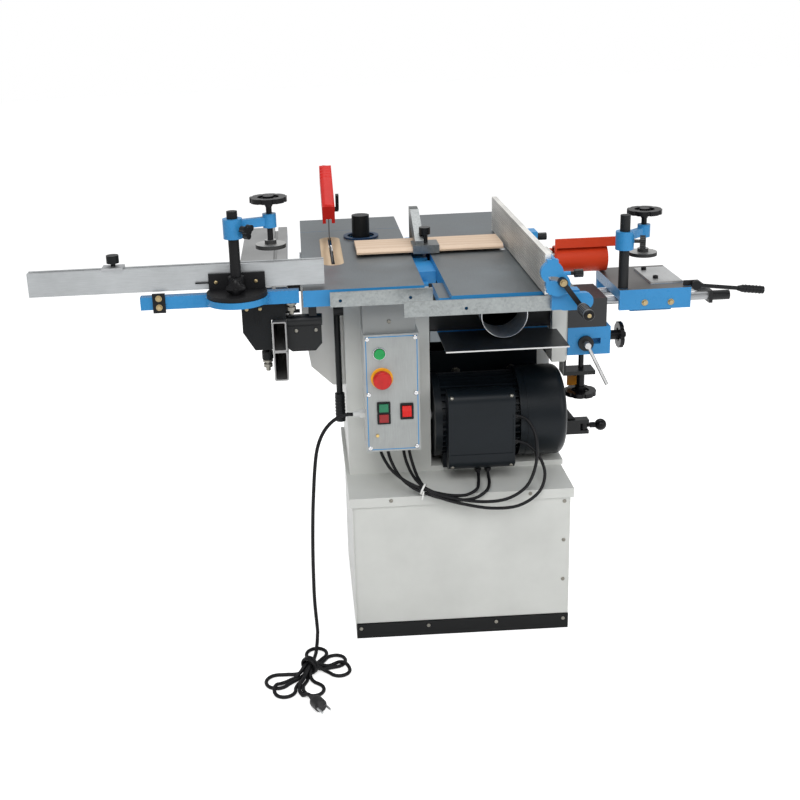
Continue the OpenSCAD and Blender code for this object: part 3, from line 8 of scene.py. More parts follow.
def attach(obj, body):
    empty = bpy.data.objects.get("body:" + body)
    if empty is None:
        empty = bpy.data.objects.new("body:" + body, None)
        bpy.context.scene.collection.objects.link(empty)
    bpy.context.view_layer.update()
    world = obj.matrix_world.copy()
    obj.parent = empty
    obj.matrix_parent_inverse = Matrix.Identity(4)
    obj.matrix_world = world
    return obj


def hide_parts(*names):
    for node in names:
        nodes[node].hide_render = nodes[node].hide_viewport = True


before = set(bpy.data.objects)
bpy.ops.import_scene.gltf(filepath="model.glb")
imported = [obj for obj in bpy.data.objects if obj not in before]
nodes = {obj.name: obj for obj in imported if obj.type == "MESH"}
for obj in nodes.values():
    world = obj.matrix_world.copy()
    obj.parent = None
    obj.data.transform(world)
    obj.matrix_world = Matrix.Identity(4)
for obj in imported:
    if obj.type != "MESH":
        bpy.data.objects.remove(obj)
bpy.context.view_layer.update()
print("frame loaded:", len(nodes), "nodes")


class Wire:
    # one socket of a shader tree; operators on it add Math nodes
    def __init__(self, tree, socket):
        self.tree = tree
        self.socket = socket

    def node(self, kind, settings=None, output=0, **sockets):
        made = self.tree.nodes.new(kind)
        for key, value in (settings or {}).items():
            if key == "stops":
                while len(made.color_ramp.elements) < len(value):
                    made.color_ramp.elements.new(0.5)
                for element, (place, colour) in zip(made.color_ramp.elements, value):
                    element.position = place
                    element.color = (*colour, 1)
            else:
                setattr(made, key, value)
        for key, value in sockets.items():
            numbered = key[0] == "i" and key[1:].isdigit()
            target = made.inputs[int(key[1:]) if numbered else key.replace("_", " ")]
            if isinstance(value, Wire):
                self.tree.links.new(value.socket, target)
            else:
                target.default_value = value
        return Wire(self.tree, made.outputs[output])

    def maths(self, operation, a, b=0.0):
        return self.node("ShaderNodeMath", {"operation": operation}, i0=a, i1=b)

    def __add__(self, other):
        return self.maths("ADD", self, other)

    def __radd__(self, other):
        return self.maths("ADD", other, self)

    def __sub__(self, other):
        return self.maths("SUBTRACT", self, other)

    def __mul__(self, other):
        return self.maths("MULTIPLY", self, other)

    def __rmul__(self, other):
        return self.maths("MULTIPLY", other, self)

    def __abs__(self):
        return self.maths("ABSOLUTE", self)

    def __gt__(self, other):
        return self.maths("GREATER_THAN", self, other)

    def __lt__(self, other):
        return self.maths("LESS_THAN", self, other)

    def __and__(self, other):
        return self.maths("MULTIPLY", self, other)

    def __or__(self, other):
        return self.maths("MAXIMUM", self, other)


class Finish:
    # a material under way: its tree, its place on the piece and its principled shader
    def __init__(self, name):
        self.material = bpy.data.materials.new(name)
        self.material.use_nodes = True
        tree = self.material.node_tree
        self.shader = tree.nodes["Principled BSDF"]
        self.start = Wire(tree, None)
        self.place = self.start.node("ShaderNodeTexCoord", output=3)
        facing = self.start.node("ShaderNodeTexCoord", output=1)
        self.x, self.y, self.z = self.parts(self.place)
        self.nx, _, self.nz = self.parts(facing)

    def parts(self, vector):
        split = self.start.node("ShaderNodeSeparateXYZ", i0=vector)
        return [Wire(self.start.tree, output) for output in split.socket.node.outputs]

    def stretch(self, x, y, z):
        return self.start.node("ShaderNodeMapping", i0=self.place, Scale=(x, y, z))

    def noise(self, scale, detail=3.0, rough=0.55, at=None):
        return self.start.node("ShaderNodeTexNoise", Vector=at or self.place, Scale=scale, Detail=detail,
                               Roughness=rough)

    def cells(self, scale, feature="F1", output=0):
        return self.start.node("ShaderNodeTexVoronoi", {"feature": feature}, output, Vector=self.place,
                               Scale=scale)

    def ramp(self, value, stops):
        return self.start.node("ShaderNodeValToRGB", {"stops": stops}, Fac=value)

    def mix(self, mask, a, b):
        return self.start.node("ShaderNodeMix", {"data_type": "RGBA"}, 2, i0=mask, i6=a, i7=b)

    def blendValue(self, mask, a, b):
        return self.start.node("ShaderNodeMix", {"data_type": "FLOAT"}, i0=mask, i2=a, i3=b)

    def bump(self, height):
        return self.start.node("ShaderNodeBump", Height=height, Distance=1.0, Strength=1.0)

    def feed(self, **sockets):
        for key, value in sockets.items():
            target = self.shader.inputs[key.replace("_", " ")]
            if isinstance(value, Wire):
                self.start.tree.links.new(value.socket, target)
            else:
                target.default_value = value
        return self.material


def tint(colour, gain):
    return tuple(min(1.0, c * gain) for c in colour)


# Each look gives colour, roughness, metal and height over the surface; a finish joins them by masks

def paintLook(f, colour, rough=0.34, peel=0.00006, dust=0.08):
    cloud = f.noise(7, 4)
    fine = f.noise(420, 2)
    speck = f.noise(60, 5, 0.7)
    base = f.ramp(cloud, [(0.3, tint(colour, 1 - dust)), (0.7, tint(colour, 1 + dust * 0.6))])
    return {"colour": base, "rough": rough - 0.07 + 0.16 * speck, "metal": 0.0, "height": fine * peel}


def crinkleLook(f, colour, rough=0.5):
    grain = f.cells(520, "SMOOTH_F1")
    cloud = f.noise(14, 4)
    base = f.ramp(cloud, [(0.3, tint(colour, 0.75)), (0.72, tint(colour, 1.35))])
    return {"colour": base, "rough": rough - 0.1 + 0.22 * cloud, "metal": 0.0, "height": grain * 0.00035}


def groundLook(f, colour, along="y", rough=0.3):
    scale = {"x": (30, 900, 900), "y": (900, 30, 900), "z": (900, 900, 30)}[along]
    lines = f.noise(1.0, 4, 0.65, f.stretch(*scale))
    cloud = f.noise(9, 5, 0.6)
    mottled = cloud * 0.6 + lines * 0.4
    base = f.ramp(mottled, [(0.3, tint(colour, 0.78)), (0.7, tint(colour, 1.18))])
    return {"colour": base, "rough": rough - 0.1 + 0.3 * cloud, "metal": 0.85, "height": lines * 0.00004}


def zincLook(f, colour, rough=0.34):
    spangle = f.cells(240, output=1)
    grey = f.start.node("ShaderNodeSeparateColor", i0=spangle)
    cloud = f.noise(24, 6, 0.7)
    mottled = grey * 0.22 + cloud * 0.78
    base = f.ramp(mottled, [(0.2, tint(colour, 0.7)), (0.5, colour), (0.8, tint(colour, 1.22))])
    return {"colour": base, "rough": rough - 0.12 + 0.3 * cloud, "metal": 0.9, "height": cloud * 0.00004}


def plasticLook(f, colour, rough=0.22):
    cloud = f.noise(30, 4)
    fine = f.noise(700, 2)
    base = f.ramp(cloud, [(0.3, tint(colour, 0.85)), (0.7, tint(colour, 1.25))])
    return {"colour": base, "rough": rough - 0.04 + 0.12 * cloud, "metal": 0.0, "height": fine * 0.00003}


def rubberLook(f, colour, rough=0.55):
    cloud = f.noise(40, 4)
    fine = f.noise(900, 3)
    base = f.ramp(cloud, [(0.3, tint(colour, 0.8)), (0.7, tint(colour, 1.5))])
    return {"colour": base, "rough": rough - 0.06 + 0.16 * cloud, "metal": 0.0, "height": fine * 0.00005}


def woodLook(f, pale, dark, along="x", rough=0.5):
    scale = {"x": (3, 22, 40), "y": (22, 3, 40)}[along]
    at = f.stretch(*scale)
    warp = f.noise(0.9, 5, 0.6, at)
    bands = {"wave_type": "BANDS", "bands_direction": "Y" if along == "x" else "X"}
    rings = f.start.node("ShaderNodeTexWave", bands, 1, Vector=at, Scale=0.55, Distortion=7.0, Detail=3.0)
    pores = f.noise(1.0, 3, 0.7, f.stretch(*[s * 14 for s in scale]))
    grain = rings * 0.45 + warp * 0.35 + pores * 0.2
    middle = tuple((a + b) / 2 for a, b in zip(pale, dark))
    base = f.ramp(grain, [(0.25, pale), (0.55, middle), (0.85, dark)])
    return {"colour": base, "rough": rough - 0.05 + 0.15 * warp, "metal": 0.0, "height": pores * 0.00012}


def joinLooks(f, first, *others, shine=0.28):
    # others are (mask, look) pairs laid over the first look in turn; shine is the same all over
    look = dict(first)
    for mask, top in others:
        under, look = look, {"colour": f.mix(mask, look["colour"], top["colour"])}
        for part in ("rough", "metal", "height"):
            look[part] = f.blendValue(mask, under[part], top[part])
    return f.feed(Base_Color=look["colour"], Roughness=look["rough"], Metallic=look["metal"],
                  Normal=f.bump(look["height"]), Specular_IOR_Level=shine)


def dress(names, material):
    for name in names.split():
        mesh = nodes[name].data
        mesh.materials.clear()
        mesh.materials.append(material)


white = (0.60, 0.61, 0.585)
azure = (0.036, 0.24, 0.52)
black = (0.007, 0.008, 0.009)
iron = (0.170, 0.190, 0.203)
steel = (0.52, 0.53, 0.54)
zinc = (0.30, 0.32, 0.32)
alloy = (0.58, 0.585, 0.58)
signalRed = (0.54, 0.018, 0.014)
orangeRed = (0.66, 0.052, 0.014)
pine = ((0.63, 0.49, 0.37), (0.55, 0.40, 0.28))
ply = ((0.50, 0.38, 0.25), (0.33, 0.23, 0.14))
brass = (0.62, 0.44, 0.16)


def placed(right, up, back, at):
    basis = np.eye(4)
    basis[:3] = np.stack([right, up, back, at], -1)
    return Matrix(basis.tolist())


def unit(vector):
    return np.asarray(vector, float) / np.linalg.norm(vector)


# Camera at the photograph's standpoint: metres, degrees and millimetres of lens
cameraSet = {"at": (-0.3233, -2.5140, 1.4366), "pitch": 17.89, "yaw": 1.12, "roll": -2.5, "lens": 51.76,
             "sensor": 36, "shift": (0.0889, -0.0614)}


def makeCamera(c):
    pitch, yaw, roll = (math.radians(c[k]) for k in ("pitch", "yaw", "roll"))
    ahead = np.array([math.sin(yaw) * math.cos(pitch), math.cos(yaw) * math.cos(pitch), -math.sin(pitch)])
    right = unit(np.cross(ahead, [0, 0, 1]))
    up = np.cross(right, ahead)
    turnedRight = math.cos(roll) * right + math.sin(roll) * up
    turnedUp = math.cos(roll) * up - math.sin(roll) * right
    data = bpy.data.cameras.new("shopCamera")
    data.lens = c["lens"]
    data.sensor_width = c["sensor"]
    data.shift_x, data.shift_y = c["shift"]
    camera = bpy.data.objects.new("shopCamera", data)
    camera.matrix_world = placed(turnedRight, turnedUp, -ahead, c["at"])
    bpy.context.scene.collection.objects.link(camera)
    bpy.context.scene.camera = camera


makeCamera(cameraSet)
print("camera placed")


# Surfaces from numpy arrays; the points of a finished piece are in metres, those of the forms in millimetres

metre = 0.001
sharpAngle = math.radians(38)


def makePiece(name, points, faces, material, body, slot):
    mesh = bpy.data.meshes.new(name)
    mesh.from_pydata(np.asarray(points, float).tolist(), [], [list(map(int, f)) for f in faces])
    mesh.polygons.foreach_set("use_smooth", np.full(len(mesh.polygons), True))
    mesh.set_sharp_from_angle(angle=sharpAngle)
    mesh.materials.append(material)
    mesh.update()
    piece = bpy.data.objects.new(name, mesh)
    bpy.context.scene.collection.objects.link(piece)
    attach(piece, body)
    return piece


def gridFaces(rows, columns, closedRows=False):
    # quads between neighbouring rows of a grid whose columns, and rows where said, close on themselves
    r, c = np.meshgrid(np.arange(rows if closedRows else rows - 1), np.arange(columns), indexing="ij")
    n = (c + 1) % columns
    u = (r + 1) % rows
    quads = np.stack([r * columns + c, r * columns + n, u * columns + n, u * columns + c], -1)
    return quads.reshape(-1, 4).tolist()


def cappedFaces(rows, columns):
    # the grid's quads, and fans to two more points at its two ends
    k = np.arange(columns)
    n = (k + 1) % columns
    last = (rows - 1) * columns
    low = np.stack([np.full(columns, last + columns), n, k], -1).tolist()
    high = np.stack([np.full(columns, last + columns + 1), last + k, last + n], -1).tolist()
    return gridFaces(rows, columns) + low + high


def smoothPath(points, steps):
    # Catmull-Rom curve through the points, each stretch cut into equal steps
    p = np.asarray(points, float)
    p = np.vstack([2 * p[0] - p[1], p, 2 * p[-1] - p[-2]])
    t = np.linspace(0, 1, steps, endpoint=False)[None, :, None]
    a, b, c, d = (p[i:len(p) - 3 + i][:, None] for i in range(4))
    squared = 2 * a - 5 * b + 4 * c - d
    cubed = 3 * b - a - 3 * c + d
    curve = 0.5 * (2 * b + (c - a) * t + squared * t ** 2 + cubed * t ** 3)
    return np.vstack([curve.reshape(-1, 3), p[-2]])


def carriedFrame(path):
    # two directions square to the path, carried along it without twisting
    run = np.gradient(path, axis=0)
    run /= np.linalg.norm(run, axis=1)[:, None]
    side = np.empty_like(run)
    anyWay = [0.31, 0.22, 0.93]
    side[0] = unit(np.cross(run[0], anyWay))
    for i in range(1, len(run)):
        side[i] = unit(side[i - 1] - run[i] * (side[i - 1] @ run[i]))
    return side, np.cross(run, side)


def sweptTube(path, radius, sides):
    # circles of the given radius carried along the path and capped
    side, other = carriedFrame(path)
    a = np.linspace(0, 2 * np.pi, sides, endpoint=False)[None, :, None]
    ring = path[:, None] + radius * (np.cos(a) * side[:, None] + np.sin(a) * other[:, None])
    return np.vstack([ring.reshape(-1, 3), path[:1], path[-1:]]), cappedFaces(len(path), sides)


def squareTo(out):
    # the axis and two directions square to it
    out = unit(out)
    across = unit(np.cross(out, [1.0, 0, 0] if abs(out[0]) < 0.8 else [0, 0, 1.0]))
    return out, across, np.cross(out, across)


def ringForm(at, out, radius, half, sides=40, section=10, flat=1.0):
    # round section of half thickness carried round a circle; flat stretches it along the axis
    out, u, v = squareTo(out)
    a = np.linspace(0, 2 * np.pi, sides, endpoint=False)[None, :, None]
    b = np.linspace(0, 2 * np.pi, section, endpoint=False)[:, None, None]
    spoke = np.cos(a) * u + np.sin(a) * v
    rows = np.asarray(at, float) + (radius + half * np.cos(b)) * spoke - half * flat * np.sin(b) * out
    return rows.reshape(-1, 3), gridFaces(section, sides, True)


def gather(forms):
    # several forms as one list of points, in metres, and faces
    starts = np.cumsum([0] + [len(points) for points, _ in forms])
    faces = [[i + int(start) for i in face] for start, (_, some) in zip(starts, forms) for face in some]
    return np.vstack([points for points, _ in forms]) * metre, faces


f = Finish("cordRubber")
cordRubber = joinLooks(f, rubberLook(f, (0.006, 0.006, 0.007), 0.42), shine=0.18)


def layCord(name, route, m):
    # a tube along the smoothed route, with its path and length in metres
    path = smoothPath(route, m["steps"]) * metre
    points, faces = sweptTube(path, m["diameter"] * metre / 2, m["sides"])
    cord = makePiece(name, points, faces, cordRubber, "stand", "cord_rubber")
    length = float(np.linalg.norm(np.diff(path, axis=0), axis=1).sum())
    print("%s %.2f m" % (name, length))
    return cord, path, round(length, 3)


# Mains cord: from the gland down to the floor, into a tied hank with its plug, in millimetres.
# The hank's points are those of a stiff cord laid in three loops each way through its tie of two wraps
mainsSet = {
    "diameter": 8, "sides": 16, "steps": 4, "plugAt": (-352.15, -448.37, 14.6), "plugBearing": 300,
    "route": [(-230, -150, 524), (-244, -150, 524), (-262, -151, 519), (-282, -154, 506), (-300, -160, 484),
              (-313, -168, 452), (-320, -176, 410), (-325, -184, 360), (-329, -190, 310), (-332, -195, 255),
              (-334, -199, 200), (-335, -203, 145), (-335, -207, 95)],
    "hank": [(-331.9, -221.7, 34.6), (-332.5, -229.4, 25.2), (-333.4, -238.7, 17.5), (-334.7, -249.7, 12.9),
             (-336.2, -260.7, 8.5), (-337.9, -271.8, 4.5), (-340.3, -283.6, 4.4), (-342.8, -295.3, 4.4),
             (-345.4, -306.8, 6.4), (-348.6, -316.9, 12.0), (-352.6, -327.4, 16.5), (-358.6, -337.8, 17.9),
             (-366.2, -345.5, 14.0), (-374.8, -349.3, 6.5), (-386.3, -349.8, 4.4), (-398.1, -349.0, 4.4),
             (-410.0, -348.9, 4.4), (-421.9, -348.6, 4.4), (-433.4, -351.4, 4.4), (-442.3, -359.2, 4.4),
             (-447.0, -370.2, 4.4), (-445.7, -382.0, 4.4), (-439.3, -392.0, 4.4), (-428.8, -397.5, 4.4),
             (-417.0, -398.3, 4.4), (-406.3, -393.4, 4.4), (-398.0, -384.9, 4.4), (-389.1, -377.1, 4.4),
             (-379.8, -369.8, 4.4), (-371.4, -361.5, 4.4), (-363.4, -353.8, 7.2), (-356.9, -345.4, 12.1),
             (-350.4, -335.2, 12.0), (-349.1, -324.5, 6.6), (-352.8, -313.4, 4.4), (-355.3, -301.8, 4.4),
             (-357.5, -290.0, 4.4), (-359.1, -278.2, 4.4), (-357.0, -266.5, 4.4), (-349.4, -257.3, 4.4),
             (-338.3, -252.7, 4.4), (-326.4, -254.9, 4.4), (-317.4, -262.9, 4.4), (-314.1, -274.5, 4.4),
             (-317.0, -286.0, 4.4), (-324.3, -295.4, 4.4), (-331.5, -304.9, 4.4), (-337.8, -314.7, 5.6),
             (-342.3, -322.3, 13.7), (-347.2, -328.6, 22.5), (-354.4, -337.7, 25.3), (-362.3, -346.5, 24.0),
             (-369.2, -353.4, 17.0), (-377.0, -357.6, 9.0), (-385.8, -364.0, 4.4), (-395.7, -370.8, 4.4),
             (-405.7, -377.2, 4.4), (-416.0, -383.2, 5.3), (-423.1, -391.7, 9.9), (-428.0, -402.3, 10.9),
             (-428.8, -413.5, 6.5), (-423.3, -424.0, 4.4), (-413.2, -430.6, 4.4), (-401.1, -430.6, 4.4),
             (-390.7, -424.7, 4.4), (-384.7, -414.4, 4.4), (-383.7, -402.5, 4.4), (-380.2, -391.2, 4.4),
             (-374.2, -380.9, 4.4), (-367.9, -370.8, 4.4), (-364.3, -361.7, 10.9), (-359.2, -353.5, 18.0),
             (-352.0, -344.1, 19.6), (-344.9, -334.7, 17.8), (-339.4, -328.5, 9.1), (-332.3, -320.8, 4.4),
             (-325.4, -311.1, 4.4), (-318.6, -301.4, 5.1), (-311.8, -292.2, 5.5), (-302.2, -285.4, 4.4),
             (-290.1, -284.8, 4.4), (-279.5, -290.5, 4.4), (-273.8, -301.2, 4.4), (-274.5, -313.1, 4.4),
             (-280.9, -323.3, 4.4), (-291.3, -328.9, 4.4), (-303.0, -331.1, 4.4), (-314.6, -333.8, 4.4),
             (-326.5, -334.3, 4.4), (-337.5, -336.5, 8.2), (-346.1, -343.0, 12.4), (-353.1, -352.9, 12.5),
             (-357.5, -362.1, 6.3), (-358.2, -373.4, 4.4), (-362.6, -384.1, 4.4), (-366.9, -394.1, 4.4),
             (-367.7, -405.6, 6.3), (-366.2, -417.3, 6.9), (-359.4, -427.0, 5.2), (-348.5, -432.0, 4.4),
             (-336.4, -430.3, 4.4), (-327.4, -422.3, 4.4), (-323.8, -410.8, 4.4), (-326.4, -399.2, 4.4),
             (-334.0, -390.1, 4.4), (-343.2, -382.4, 4.4), (-350.0, -373.5, 7.6), (-351.9, -363.7, 14.5),
             (-347.5, -353.4, 18.8), (-339.8, -343.8, 17.4), (-329.6, -340.7, 11.3), (-319.4, -343.1, 5.3),
             (-310.1, -350.5, 4.4), (-302.1, -359.4, 4.4), (-291.2, -364.2, 4.4), (-279.3, -362.8, 4.4),
             (-269.6, -355.6, 4.4), (-265.5, -344.2, 4.4), (-267.8, -332.5, 6.5), (-275.8, -324.4, 10.7),
             (-286.8, -320.1, 10.2), (-298.0, -319.5, 5.9), (-309.1, -323.4, 4.4), (-320.1, -326.8, 7.4),
             (-329.4, -331.5, 13.2), (-337.4, -336.4, 20.9), (-345.1, -344.2, 25.5), (-352.6, -353.7, 25.2),
             (-358.2, -362.7, 19.8), (-363.1, -371.4, 13.2), (-368.4, -381.8, 10.4), (-373.5, -392.6, 8.9),
             (-375.5, -403.6, 4.9), (-374.9, -415.5, 4.4), (-370.1, -426.5, 4.4), (-368.0, -429.8, 5.3),
             (-360.3, -436.3, 11.7), (-356.2, -441.4, 14.5), (-352.1, -448.4, 14.6)],
    "tieAt": (-352, -344, 21.4), "tieBearing": 52, "tieRadius": 16.9, "tieHalf": 3.6, "wraps": (-1.04, 1.04),
}


def bearing(degrees):
    a = math.radians(degrees)
    return np.array([math.cos(a), math.sin(a), 0])


def makeMainsCord(m):
    cord, path, length = layCord("mainsCord", m["route"] + m["hank"], m)
    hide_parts("mains_cord", "cord_hank")
    middle, along = np.array(m["tieAt"]), bearing(m["tieBearing"])
    wraps = [ringForm(middle + step * m["tieHalf"] * along, along, m["tieRadius"], m["tieHalf"])
             for step in m["wraps"]]
    tie = makePiece("cordTie", *gather(wraps), cordRubber, "stand", "cord_rubber")


makeMainsCord(mainsSet)

# Motor leads: four loose loops from the control box to the terminal box
leadSet = {
    "diameter": 7, "sides": 14, "steps": 5,
    "routes": [
        [(-172, -150, 450), (-172, -151, 438), (-166, -160, 420), (-150, -184, 400), (-124, -206, 384),
         (-92, -222, 372), (-56, -228, 361), (-24, -230, 354), (8, -229, 353), (32, -218, 360),
         (40, -194, 366), (44, -166, 370), (45, -151, 382)],
        [(-156, -150, 450), (-156, -151, 438), (-150, -162, 414), (-134, -190, 388), (-108, -214, 370),
         (-80, -226, 360), (-48, -230, 349), (-10, -230, 342), (28, -228, 344), (54, -218, 356),
         (64, -194, 364), (66, -166, 369), (67, -151, 382)],
        [(-121, -150, 450), (-121, -151, 438), (-118, -166, 418), (-108, -196, 396), (-90, -226, 380),
         (-60, -239, 366), (-20, -241, 352), (40, -240, 340), (96, -236, 342), (140, -226, 364),
         (163, -208, 402), (170, -188, 440), (168, -172, 468), (156, -158, 491), (141, -153, 500),
         (125, -152, 502)],
        [(-109, -150, 450), (-109, -151, 438), (-104, -168, 412), (-94, -202, 386), (-76, -232, 368),
         (-46, -241, 353), (0, -243, 338), (60, -243, 325), (120, -240, 326), (166, -230, 350),
         (184, -210, 384), (176, -186, 416), (156, -164, 436), (138, -154, 441), (125, -153, 442)]],
}


def makeLeads(m):
    for i, route in enumerate(m["routes"]):
        lead, path, length = layCord("motorLead%d" % (i + 1), route, m)
        m["diameter"] * metre
        if i == 0:
            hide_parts("motor_leads")


makeLeads(leadSet)

# Finishes of the solids; masks go by place on the piece, in metres, and by the way a face looks

facesSquare = 0.7

f = Finish("cabinetPaint")
dress("base_cabinet", joinLooks(f, paintLook(f, white)))

f = Finish("framePaint")
bay = (f.x > -0.0525) & (f.x < 0.2225) & (f.y > -0.02) & (f.y < 0.2056) & (f.z > 0.3625) & (f.z < 0.7)
fork = (f.x > 0.2523) & (f.z < 0.485)
yoke = (f.x > 0.2523) & (f.z < 0.6) & (abs(f.y + 0.05) < 0.0225)
cheeks = (f.z > 0.7892) & (f.x < -0.03)
dress("upper_frame", joinLooks(f, paintLook(f, white), (bay | yoke | fork, paintLook(f, black, 0.4)),
                               (cheeks, paintLook(f, azure, 0.3))))

f = Finish("panelPaint")
kick = f.z < 0.0365
dress("front_panel", joinLooks(
    f, paintLook(f, white, 0.3), (kick, paintLook(f, tint(black, 0.5), 0.36)), shine=0.18))

f = Finish("boxPaint")
riser = (f.z > 0.7165) & (f.y < -0.1)
dress("control_box", joinLooks(
    f, paintLook(f, (0.60, 0.61, 0.60), 0.3), (riser, paintLook(f, (0.30, 0.31, 0.305), 0.36))))

# The hopper's white is painted lighter than the cabinet's white: painted light on a face the lamps leave in
# shade
f = Finish("hopperPaintedLight")
dress("saw_hopper", joinLooks(f, paintLook(f, (0.80, 0.80, 0.775), 0.36)))

f = Finish("motorPaint")
dress("motor_housing", joinLooks(f, paintLook(f, (0.006, 0.009, 0.012), 0.34, 0.00012, 0.2), shine=0.18))

f = Finish("machinedIron")
dress("saw_table outfeed_table", joinLooks(
    f, paintLook(f, azure, 0.3), (f.nz > facesSquare, groundLook(f, iron, "y", 0.34))))

f = Finish("infeedIron")
rail = f.y < -0.3203
dress("infeed_table", joinLooks(
    f, paintLook(f, azure, 0.3), (f.nz > facesSquare, groundLook(f, iron, "y", 0.34)),
    (rail, zincLook(f, zinc))))

f = Finish("insertPly")
spindleRing = f.z > 0.8303
dress("table_insert", joinLooks(
    f, woodLook(f, *ply, "y"), (spindleRing, paintLook(f, (0.008, 0.03, 0.075), 0.4))))

f = Finish("zincRail")
dress("saw_rail", joinLooks(f, zincLook(f, zinc)))

f = Finish("panelFace")
edgeX = abs(f.x + 0.145)
edgeZ = abs(f.z - 0.5835)
border = ((edgeX > 0.0535) | (edgeZ > 0.1275)) & (edgeX < 0.0555) & (edgeZ < 0.1295)
boss = f.y < -0.1923
backing = f.y > -0.1899
dress("control_panel", joinLooks(
    f, dict(groundLook(f, (0.37, 0.385, 0.38), "z", 0.5), metal=0.3), (border, paintLook(f, azure, 0.4)),
    (boss, groundLook(f, brass, "x")), (backing, plasticLook(f, black))))

f = Finish("railSteel")
dress("carriage_rails", joinLooks(
    f, groundLook(f, (0.30, 0.30, 0.30), "y", 0.38), (f.x > -0.3648, paintLook(f, black, 0.4))))

f = Finish("hoodSheet")
spigot = f.y < -0.0622
dress("chip_hood", joinLooks(
    f, paintLook(f, black, 0.42), (spigot, dict(zincLook(f, (0.40, 0.41, 0.42)), metal=0.35))))

f = Finish("beltRubber")
dress("drive_belt", joinLooks(f, rubberLook(f, (0.016, 0.016, 0.016))))

f = Finish("guardRed")
dress("chuck_guards", joinLooks(f, paintLook(f, orangeRed, 0.36), shine=0.2))

f = Finish("sawGuardRed")
guardGloss = joinLooks(f, paintLook(f, signalRed, 0.4), (f.x > -0.2409, plasticLook(f, black)), shine=0.14)
dress("saw_guard", guardGloss)

f = Finish("plugMould")
away = [float(d) for d in bearing(mainsSet["plugBearing"])]
plugX, plugY = (metre * d for d in mainsSet["plugAt"][:2])
pins = (f.x - plugX) * away[0] + (f.y - plugY) * away[1] > 0.0441
dress("mains_plug", joinLooks(
    f, rubberLook(f, (0.016, 0.016, 0.017), 0.4), (pins, groundLook(f, steel, "x"))))

f = Finish("bluePaint")
dress("fence_carriage", joinLooks(f, paintLook(f, azure, 0.28)))

# Grooves in the fence's face: how many to the metre each way, and their share of each step. The grooves have
# no depth; they are painted darker alloy, a painted shade
fenceGrooves = {"along": 90, "up": 160, "foot": 0.833, "alongShare": 0.28, "upShare": 0.3}
f = Finish("fenceAlloy")
alongFence = f.y.maths("FRACT", f.y * fenceGrooves["along"])
upFence = f.z.maths("FRACT", (f.z - fenceGrooves["foot"]) * fenceGrooves["up"])
inGroove = (alongFence < fenceGrooves["alongShare"]) | (upFence < fenceGrooves["upShare"])
# painted shade: the grooves on the fence's face get a darker copy of the alloy
grooveShade = inGroove & (f.nx < -facesSquare)
bracket = (f.x > 0.15701) | (f.y < -0.35401)
handles = (f.x > 0.1731) & (f.y > -0.2) | ((f.x > 0.1935) & (f.z > 0.863))
dress("fence_plate", joinLooks(
    f, groundLook(f, (0.76, 0.75, 0.72), "y", 0.4), (grooveShade, groundLook(f, (0.52, 0.52, 0.51), "y", 0.45)),
    (bracket, paintLook(f, azure, 0.28)), (handles, plasticLook(f, black))))

f = Finish("crankBlack")
grip = f.y < -0.3804
dress("crank_lever", joinLooks(
    f, paintLook(f, black, 0.36), (grip, plasticLook(f, (0.10, 0.105, 0.11), 0.4))))

f = Finish("bridgeSteel")
knobX, knobY = f.x + 0.0417, f.y - 0.072
fromKnob = knobX * knobX + knobY * knobY
headSquare, neckSquare = 0.00018, 0.00006
knob = (f.z > 0.8721) & (fromKnob < headSquare) | ((f.z > 0.8521) & (fromKnob < neckSquare))
dress("bridge_bracket", joinLooks(f, zincLook(f, (0.21, 0.22, 0.22)), (knob, plasticLook(f, black))))

f = Finish("guardPine")
dress("bridge_guard", joinLooks(f, woodLook(f, *pine, "x")))

f = Finish("cutterSteel")
dress("cutter_block motor_rotor infeed_roller outfeed_roller",
      joinLooks(f, groundLook(f, steel, "x", 0.28)))

# The blade's steel is painted near black: painted shade for the blade down in the table's slot
f = Finish("bladeSteelPaintedShade")
dress("saw_blade", joinLooks(f, groundLook(f, (0.09, 0.09, 0.095), "y", 0.5)))

f = Finish("bedIron")
apron = f.y < -0.0666
stripe = (f.y > -0.076) & (f.y < -0.0666)
lip = f.y < -0.2184
dress("thickness_bed", joinLooks(
    f, groundLook(f, iron, "y", 0.36), (apron, paintLook(f, (0.020, 0.022, 0.024), 0.34)),
    (stripe, paintLook(f, azure, 0.4)), (lip, groundLook(f, alloy, "x"))))

f = Finish("sawLiftSteel")
knife = f.x < -0.2458
dress("saw_lift", joinLooks(
    f, paintLook(f, (0.10, 0.10, 0.105), 0.45), (knife, groundLook(f, (0.15, 0.15, 0.155), "z", 0.42))))

f = Finish("quillSteel")
dress("spindle_quill", joinLooks(f, groundLook(f, (0.3, 0.3, 0.31), "z")))

f = Finish("satinBlack")
dress("lift_lever spindle table_lever", joinLooks(f, paintLook(f, black, 0.36), shine=0.18))

f = Finish("stopPlate")
plate = f.z < 0.8950
dress("fence_stop", joinLooks(
    f, paintLook(f, black, 0.36), (plate, groundLook(f, (0.40, 0.41, 0.42), "x", 0.4)), shine=0.18))

f = Finish("crinkleBlack")
dress("mitre_gauge", joinLooks(f, crinkleLook(f, (0.008, 0.008, 0.009)), shine=0.18))

f = Finish("slideAlloy")
innerStrip = f.x > -0.3598
dress("carriage_table", joinLooks(
    f, groundLook(f, (0.33, 0.335, 0.335), "y", 0.4), (innerStrip, paintLook(f, black))))

f = Finish("crosscutAlloy")
dress("crosscut_fence", joinLooks(f, groundLook(f, (0.43, 0.447, 0.457), "x", 0.42)))

f = Finish("carriageFrame")
outrigger = (f.z > 0.8015) & (f.y < -0.1861)
endPlate = (f.y < -0.2202) & (f.x < -0.6)
dress("carriage_frame", joinLooks(f, crinkleLook(f, black), (outrigger, paintLook(f, azure, 0.26)),
                                  (endPlate, paintLook(f, black, 0.4)), shine=0.18))


knobTurn = 60


